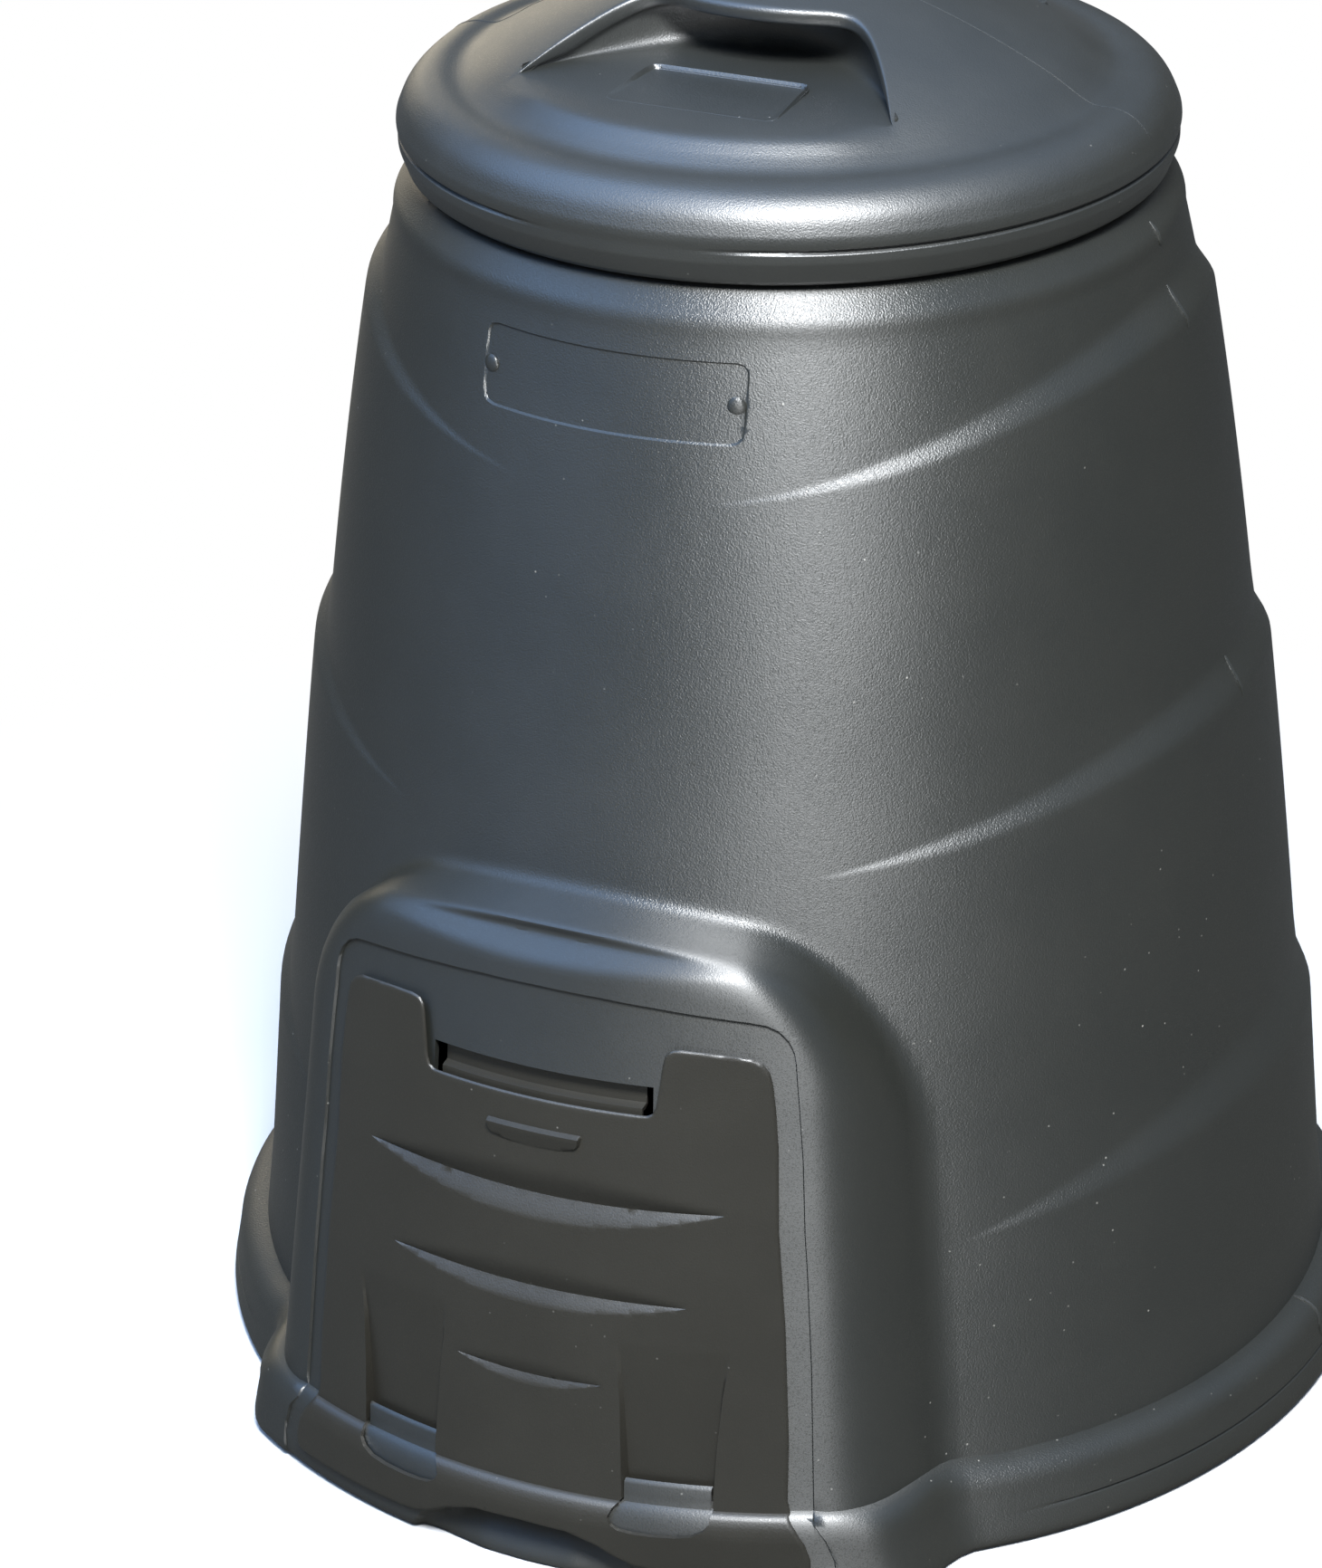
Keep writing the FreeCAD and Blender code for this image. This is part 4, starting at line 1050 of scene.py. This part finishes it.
def noise(tree, vector, scale, detail=2.0, roughness=0.5):
    node = tree.nodes.new("ShaderNodeTexNoise")
    node.inputs["Scale"].default_value = scale
    node.inputs["Detail"].default_value = detail
    node.inputs["Roughness"].default_value = roughness
    tree.links.new(vector, node.inputs["Vector"])
    return node.outputs["Fac"]


def map_range(tree, value, low, high, to_low=0.0, to_high=1.0):
    node = tree.nodes.new("ShaderNodeMapRange")
    node.clamp = True
    tree.links.new(value, node.inputs["Value"])
    node.inputs["From Min"].default_value = low
    node.inputs["From Max"].default_value = high
    node.inputs["To Min"].default_value = to_low
    node.inputs["To Max"].default_value = to_high
    return node.outputs["Result"]


def mixed(tree, first, second, share):
    """A blend of two colours, each given as a number or as a socket."""
    node = tree.nodes.new("ShaderNodeMix")
    node.data_type = "RGBA"
    for label, colour in (("A", first), ("B", second)):
        if isinstance(colour, tuple):
            node.inputs[label].default_value = (*colour, 1.0)
        else:
            tree.links.new(colour, node.inputs[label])
    tree.links.new(share, node.inputs["Factor"])
    return node.outputs["Result"]


def mould_grain_group():
    """The fine spark-eroded grain that the mould leaves, as a height and a mask of its grains; the mask is
    real grain in the roughness and painted sun glints in the colour.
    """
    group, start, end = new_group(
        "mould_grain", [("Vector", "NodeSocketVector", None)],
        [("Height", "NodeSocketFloat"), ("Grains_And_Glints", "NodeSocketFloat")],
    )
    fine = noise(group, start.outputs["Vector"], 950.0, 1.0, 0.5)
    coarse = noise(group, start.outputs["Vector"], 210.0, 2.0, 0.5)
    small = math_node(group, "MULTIPLY", fine, 0.8)
    height = math_node(group, "ADD", small, math_node(group, "MULTIPLY", coarse, 0.2))
    group.links.new(height, end.inputs["Height"])
    group.links.new(map_range(group, fine, 0.50, 0.74), end.inputs["Grains_And_Glints"])
    return group


def dust_group():
    """Pale specks of soil and pollen, scattered thinly, and the faint film between them."""
    group, start, end = new_group(
        "garden_dust", [("Vector", "NodeSocketVector", None), ("Amount", "NodeSocketFloat", 0.5)],
        [("Specks", "NodeSocketFloat"), ("Film", "NodeSocketFloat")],
    )
    cells = group.nodes.new("ShaderNodeTexVoronoi")
    cells.inputs["Scale"].default_value = 120.0
    group.links.new(start.outputs["Vector"], cells.inputs["Vector"])
    dots = map_range(group, cells.outputs["Distance"], 0.10, 0.04)
    parts = group.nodes.new("ShaderNodeSeparateColor")
    group.links.new(cells.outputs["Color"], parts.inputs["Color"])
    chosen = math_node(group, "GREATER_THAN", parts.outputs["Red"], 0.80)
    patches = map_range(group, noise(group, start.outputs["Vector"], 6.0, 3.0, 0.6), 0.48, 0.66)
    specks = math_node(group, "MULTIPLY", math_node(group, "MULTIPLY", dots, chosen), patches)
    specks = math_node(group, "MULTIPLY", specks, start.outputs["Amount"], clamp=True)
    group.links.new(specks, end.inputs["Specks"])
    film = map_range(group, noise(group, start.outputs["Vector"], 9.0, 5.0, 0.62), 0.35, 0.75)
    group.links.new(film, end.inputs["Film"])
    return group


def wall_share(tree, place):
    """1 on the bin's wall and 0 on the smooth surround and foot that stand out from it."""
    parts = tree.nodes.new("ShaderNodeSeparateXYZ")
    tree.links.new(place, parts.inputs["Vector"])
    flat = tree.nodes.new("ShaderNodeCombineXYZ")
    tree.links.new(parts.outputs["X"], flat.inputs["X"])
    tree.links.new(parts.outputs["Y"], flat.inputs["Y"])
    off_axis = tree.nodes.new("ShaderNodeVectorMath")
    off_axis.operation = "DISTANCE"
    tree.links.new(flat.outputs["Vector"], off_axis.inputs[0])
    off_axis.inputs[1].default_value = (0.0, AXIS_Y, 0.0)
    taper = math_node(tree, "MULTIPLY", parts.outputs["Z"], 0.145)
    return map_range(tree, math_node(tree, "ADD", off_axis.outputs["Value"], taper), 0.386, 0.372)


SPECK_COLOUR = (0.58, 0.56, 0.50)
PLASTIC_IOR = 1.7


def moulded_plastic(name, colour, dust_and_glint_colour, roughness, grain_height, speck_amount, gloss_level, draw=0.0):
    """Black moulded plastic; draw stretches its sheen upright, the way the mould was drawn off."""
    material = bpy.data.materials.new(name)
    material.use_nodes = True
    tree = material.node_tree
    shader = tree.nodes["Principled BSDF"]
    place = tree.nodes.new("ShaderNodeTexCoord").outputs["Object"]
    grain = tree.nodes.new("ShaderNodeGroup")
    grain.node_tree = grain_group
    tree.links.new(place, grain.inputs["Vector"])
    dust = tree.nodes.new("ShaderNodeGroup")
    dust.node_tree = specks_group
    dust.inputs["Amount"].default_value = speck_amount
    tree.links.new(place, dust.inputs["Vector"])

    film = math_node(tree, "MULTIPLY", dust.outputs["Film"], 0.55)
    # painted glints: the grain mask lightens the base colour toward the dusty colour, as painted sun glints
    # on the grain's facets; the dust film beside it is real
    painted_glints = math_node(tree, "MULTIPLY", grain.outputs["Grains_And_Glints"], 0.35)
    film = math_node(tree, "ADD", film, painted_glints, clamp=True)
    tint = mixed(tree, colour, dust_and_glint_colour, film)
    tree.links.new(mixed(tree, tint, SPECK_COLOUR, dust.outputs["Specks"]), shader.inputs["Base Color"])

    gloss = math_node(tree, "ADD", math_node(tree, "MULTIPLY", dust.outputs["Film"], 0.06), roughness)
    sharper = math_node(tree, "MULTIPLY", grain.outputs["Grains_And_Glints"], 0.10)
    gloss = math_node(tree, "SUBTRACT", gloss, sharper, clamp=True)
    tree.links.new(gloss, shader.inputs["Roughness"])
    bump = tree.nodes.new("ShaderNodeBump")
    bump.inputs["Distance"].default_value = grain_height
    if draw > 0.0:
        coarse_wall = wall_share(tree, place)
        tree.links.new(map_range(tree, coarse_wall, 0.0, 1.0, 0.3, 1.0), bump.inputs["Strength"])
    tree.links.new(grain.outputs["Height"], bump.inputs["Height"])
    tree.links.new(bump.outputs["Normal"], shader.inputs["Normal"])
    shader.inputs["IOR"].default_value = PLASTIC_IOR
    shader.inputs["Specular IOR Level"].default_value = gloss_level
    shader.inputs["Anisotropic"].default_value = draw
    shader.inputs["Anisotropic Rotation"].default_value = 0.25
    return material


grain_group = mould_grain_group()
specks_group = dust_group()
body_plastic = moulded_plastic(
    "charcoal_bin_plastic",
    (0.0200, 0.0216, 0.0184), (0.0320, 0.0320, 0.0256), 0.45, 0.00032, 1.0, 1.0, draw=0.82)
lid_plastic = moulded_plastic(
    "charcoal_lid_plastic",
    (0.0200, 0.0224, 0.0208), (0.0304, 0.0320, 0.0280), 0.42, 0.00020, 0.6, 1.0)
door_plastic = moulded_plastic(
    "brown_black_door_plastic",
    (0.0216, 0.0195, 0.0141), (0.0320, 0.0291, 0.0208), 0.46, 0.00012, 0.4, 0.7)

make_body(body_plastic)
make_lid(lid_plastic)
make_door(door_plastic)


# Floor, light and camera.

floor_mesh = bmesh.new()
bmesh.ops.create_circle(floor_mesh, cap_ends=True, segments=96, radius=9.0)
floor_data = bpy.data.meshes.new("studio_floor")
floor_mesh.to_mesh(floor_data)
floor_mesh.free()
floor = bpy.data.objects.new("studio_floor", floor_data)
bpy.context.scene.collection.objects.link(floor)
# how much of the white backdrop the plastic's gloss may mirror
GLOSS_SHARE = 0.037


def seen_share(tree):
    """1 for what the camera or glass sees, a small share for gloss, 0 for the light on the object."""
    path = tree.nodes.new("ShaderNodeLightPath")
    plain = math_node(tree, "MAXIMUM", path.outputs["Is Camera Ray"], path.outputs["Is Transmission Ray"])
    gloss = math_node(tree, "MULTIPLY", path.outputs["Is Glossy Ray"], GLOSS_SHARE)
    return math_node(tree, "MAXIMUM", plain, gloss, clamp=True)


floor_material = bpy.data.materials.new("pale_floor")
floor_material.use_nodes = True
floor_tree = floor_material.node_tree
floor_shader = floor_tree.nodes["Principled BSDF"]
floor_shader.inputs["Roughness"].default_value = 0.9
floor_seen = seen_share(floor_tree)
# the floor looks pale, but throws back only as much light as the soil and grass round a real bin
floor_colour = mixed(floor_tree, (0.085, 0.080, 0.062), (0.86, 0.86, 0.86), floor_seen)
floor_tree.links.new(floor_colour, floor_shader.inputs["Base Color"])
floor_place = floor_tree.nodes.new("ShaderNodeTexCoord")
floor_reach = floor_tree.nodes.new("ShaderNodeVectorMath")
floor_reach.operation = "LENGTH"
floor_tree.links.new(floor_place.outputs["Object"], floor_reach.inputs[0])
far_off = map_range(floor_tree, floor_reach.outputs["Value"], 0.50, 1.05)
floor_white = floor_tree.nodes.new("ShaderNodeEmission")
floor_mix = floor_tree.nodes.new("ShaderNodeMixShader")
floor_tree.links.new(math_node(floor_tree, "MULTIPLY", far_off, floor_seen), floor_mix.inputs["Fac"])
floor_tree.links.new(floor_shader.outputs["BSDF"], floor_mix.inputs[1])
floor_tree.links.new(floor_white.outputs["Emission"], floor_mix.inputs[2])
floor_tree.links.new(floor_mix.outputs["Shader"], floor_tree.nodes["Material Output"].inputs["Surface"])
floor_data.materials.append(floor_material)

# The sky is pale blue overhead and a dim warm garden near the ground.
world = bpy.data.worlds.new("studio")
bpy.context.scene.world = world
world.use_nodes = True
world_tree = world.node_tree
backdrop = world_tree.nodes["Background"]
sky_place = world_tree.nodes.new("ShaderNodeTexCoord")
sky_parts = world_tree.nodes.new("ShaderNodeSeparateXYZ")
world_tree.links.new(sky_place.outputs["Generated"], sky_parts.inputs["Vector"])
sky_ramp = world_tree.nodes.new("ShaderNodeValToRGB")
sky_ramp.color_ramp.elements[0].position = 0.22
sky_ramp.color_ramp.elements[0].color = (0.062, 0.059, 0.0465, 1.0)
sky_ramp.color_ramp.elements[1].position = 0.85
sky_ramp.color_ramp.elements[1].color = (0.30, 0.40, 0.57, 1.0)
world_tree.links.new(sky_parts.outputs["Z"], sky_ramp.inputs["Fac"])
world_tree.links.new(sky_ramp.outputs["Color"], backdrop.inputs["Color"])
white_world = world_tree.nodes.new("ShaderNodeBackground")
white_world.inputs["Color"].default_value = (1.0, 1.0, 1.0, 1.0)
world_mix = world_tree.nodes.new("ShaderNodeMixShader")
world_tree.links.new(seen_share(world_tree), world_mix.inputs["Fac"])
world_tree.links.new(backdrop.outputs["Background"], world_mix.inputs[1])
world_tree.links.new(white_world.outputs["Background"], world_mix.inputs[2])
world_tree.links.new(world_mix.outputs["Shader"], world_tree.nodes["World Output"].inputs["Surface"])


LAMP_DISTANCE = 4.0


def softbox(name, azimuth, elevation, size, power, colour):
    """A square lamp that looks at the middle of the bin."""
    lamp = bpy.data.lights.new(name, "AREA")
    lamp.shape = "SQUARE"
    lamp.size = size
    lamp.energy = power
    lamp.color = colour
    holder = bpy.data.objects.new(name, lamp)
    a, e = math.radians(azimuth), math.radians(elevation)
    away = Vector((math.sin(a) * math.cos(e), -math.cos(a) * math.cos(e), math.sin(e)))
    holder.location = Vector((0.0, AXIS_Y, 0.45)) + away * LAMP_DISTANCE
    holder.rotation_mode = "QUATERNION"
    holder.rotation_quaternion = away.to_track_quat("Z", "Y")
    bpy.context.scene.collection.objects.link(holder)


softbox("key_lamp", 28.0, 53.0, 1.0, 290.0, (0.965, 0.985, 1.0))
softbox("sky_lamp", -56.0, 56.0, 3.8, 78.0, (0.24, 0.50, 1.0))
softbox("warm_lamp", -136.0, 12.0, 1.4, 15.0, (1.0, 0.88, 0.66))

# the camera that was fitted to the photo: focal length in picture heights, place and turns
FOCAL_SHARE = 5989.41 / 1732.0
CAMERA_AWAY = 3121.54 * MM
CAMERA_HEIGHT = 1886.45 * MM
VIEW_AZIMUTH = math.radians(24.46)
VIEW_DOWN = math.radians(90.0 - 26.21)
VIEW_SIDE = math.radians(1.386)
VIEW_ROLL = math.radians(-0.3285)
camera_data = bpy.data.cameras.new("photo_camera")
camera_data.sensor_width = 36.0
camera_data.lens = 36.0 * FOCAL_SHARE
camera_data.clip_end = 50.0
camera = bpy.data.objects.new("photo_camera", camera_data)
bpy.context.scene.collection.objects.link(camera)
camera.location = (
    CAMERA_AWAY * math.sin(VIEW_AZIMUTH), AXIS_Y - CAMERA_AWAY * math.cos(VIEW_AZIMUTH), CAMERA_HEIGHT,
)
camera.rotation_mode = "QUATERNION"
camera.rotation_quaternion = (
    Matrix.Rotation(VIEW_AZIMUTH, 4, "Z") @ Matrix.Rotation(VIEW_DOWN, 4, "X")
    @ Matrix.Rotation(VIEW_SIDE, 4, "Y") @ Matrix.Rotation(VIEW_ROLL, 4, "Z")
).to_quaternion()
bpy.context.scene.camera = camera
bpy.context.scene.view_settings.view_transform = "Standard"
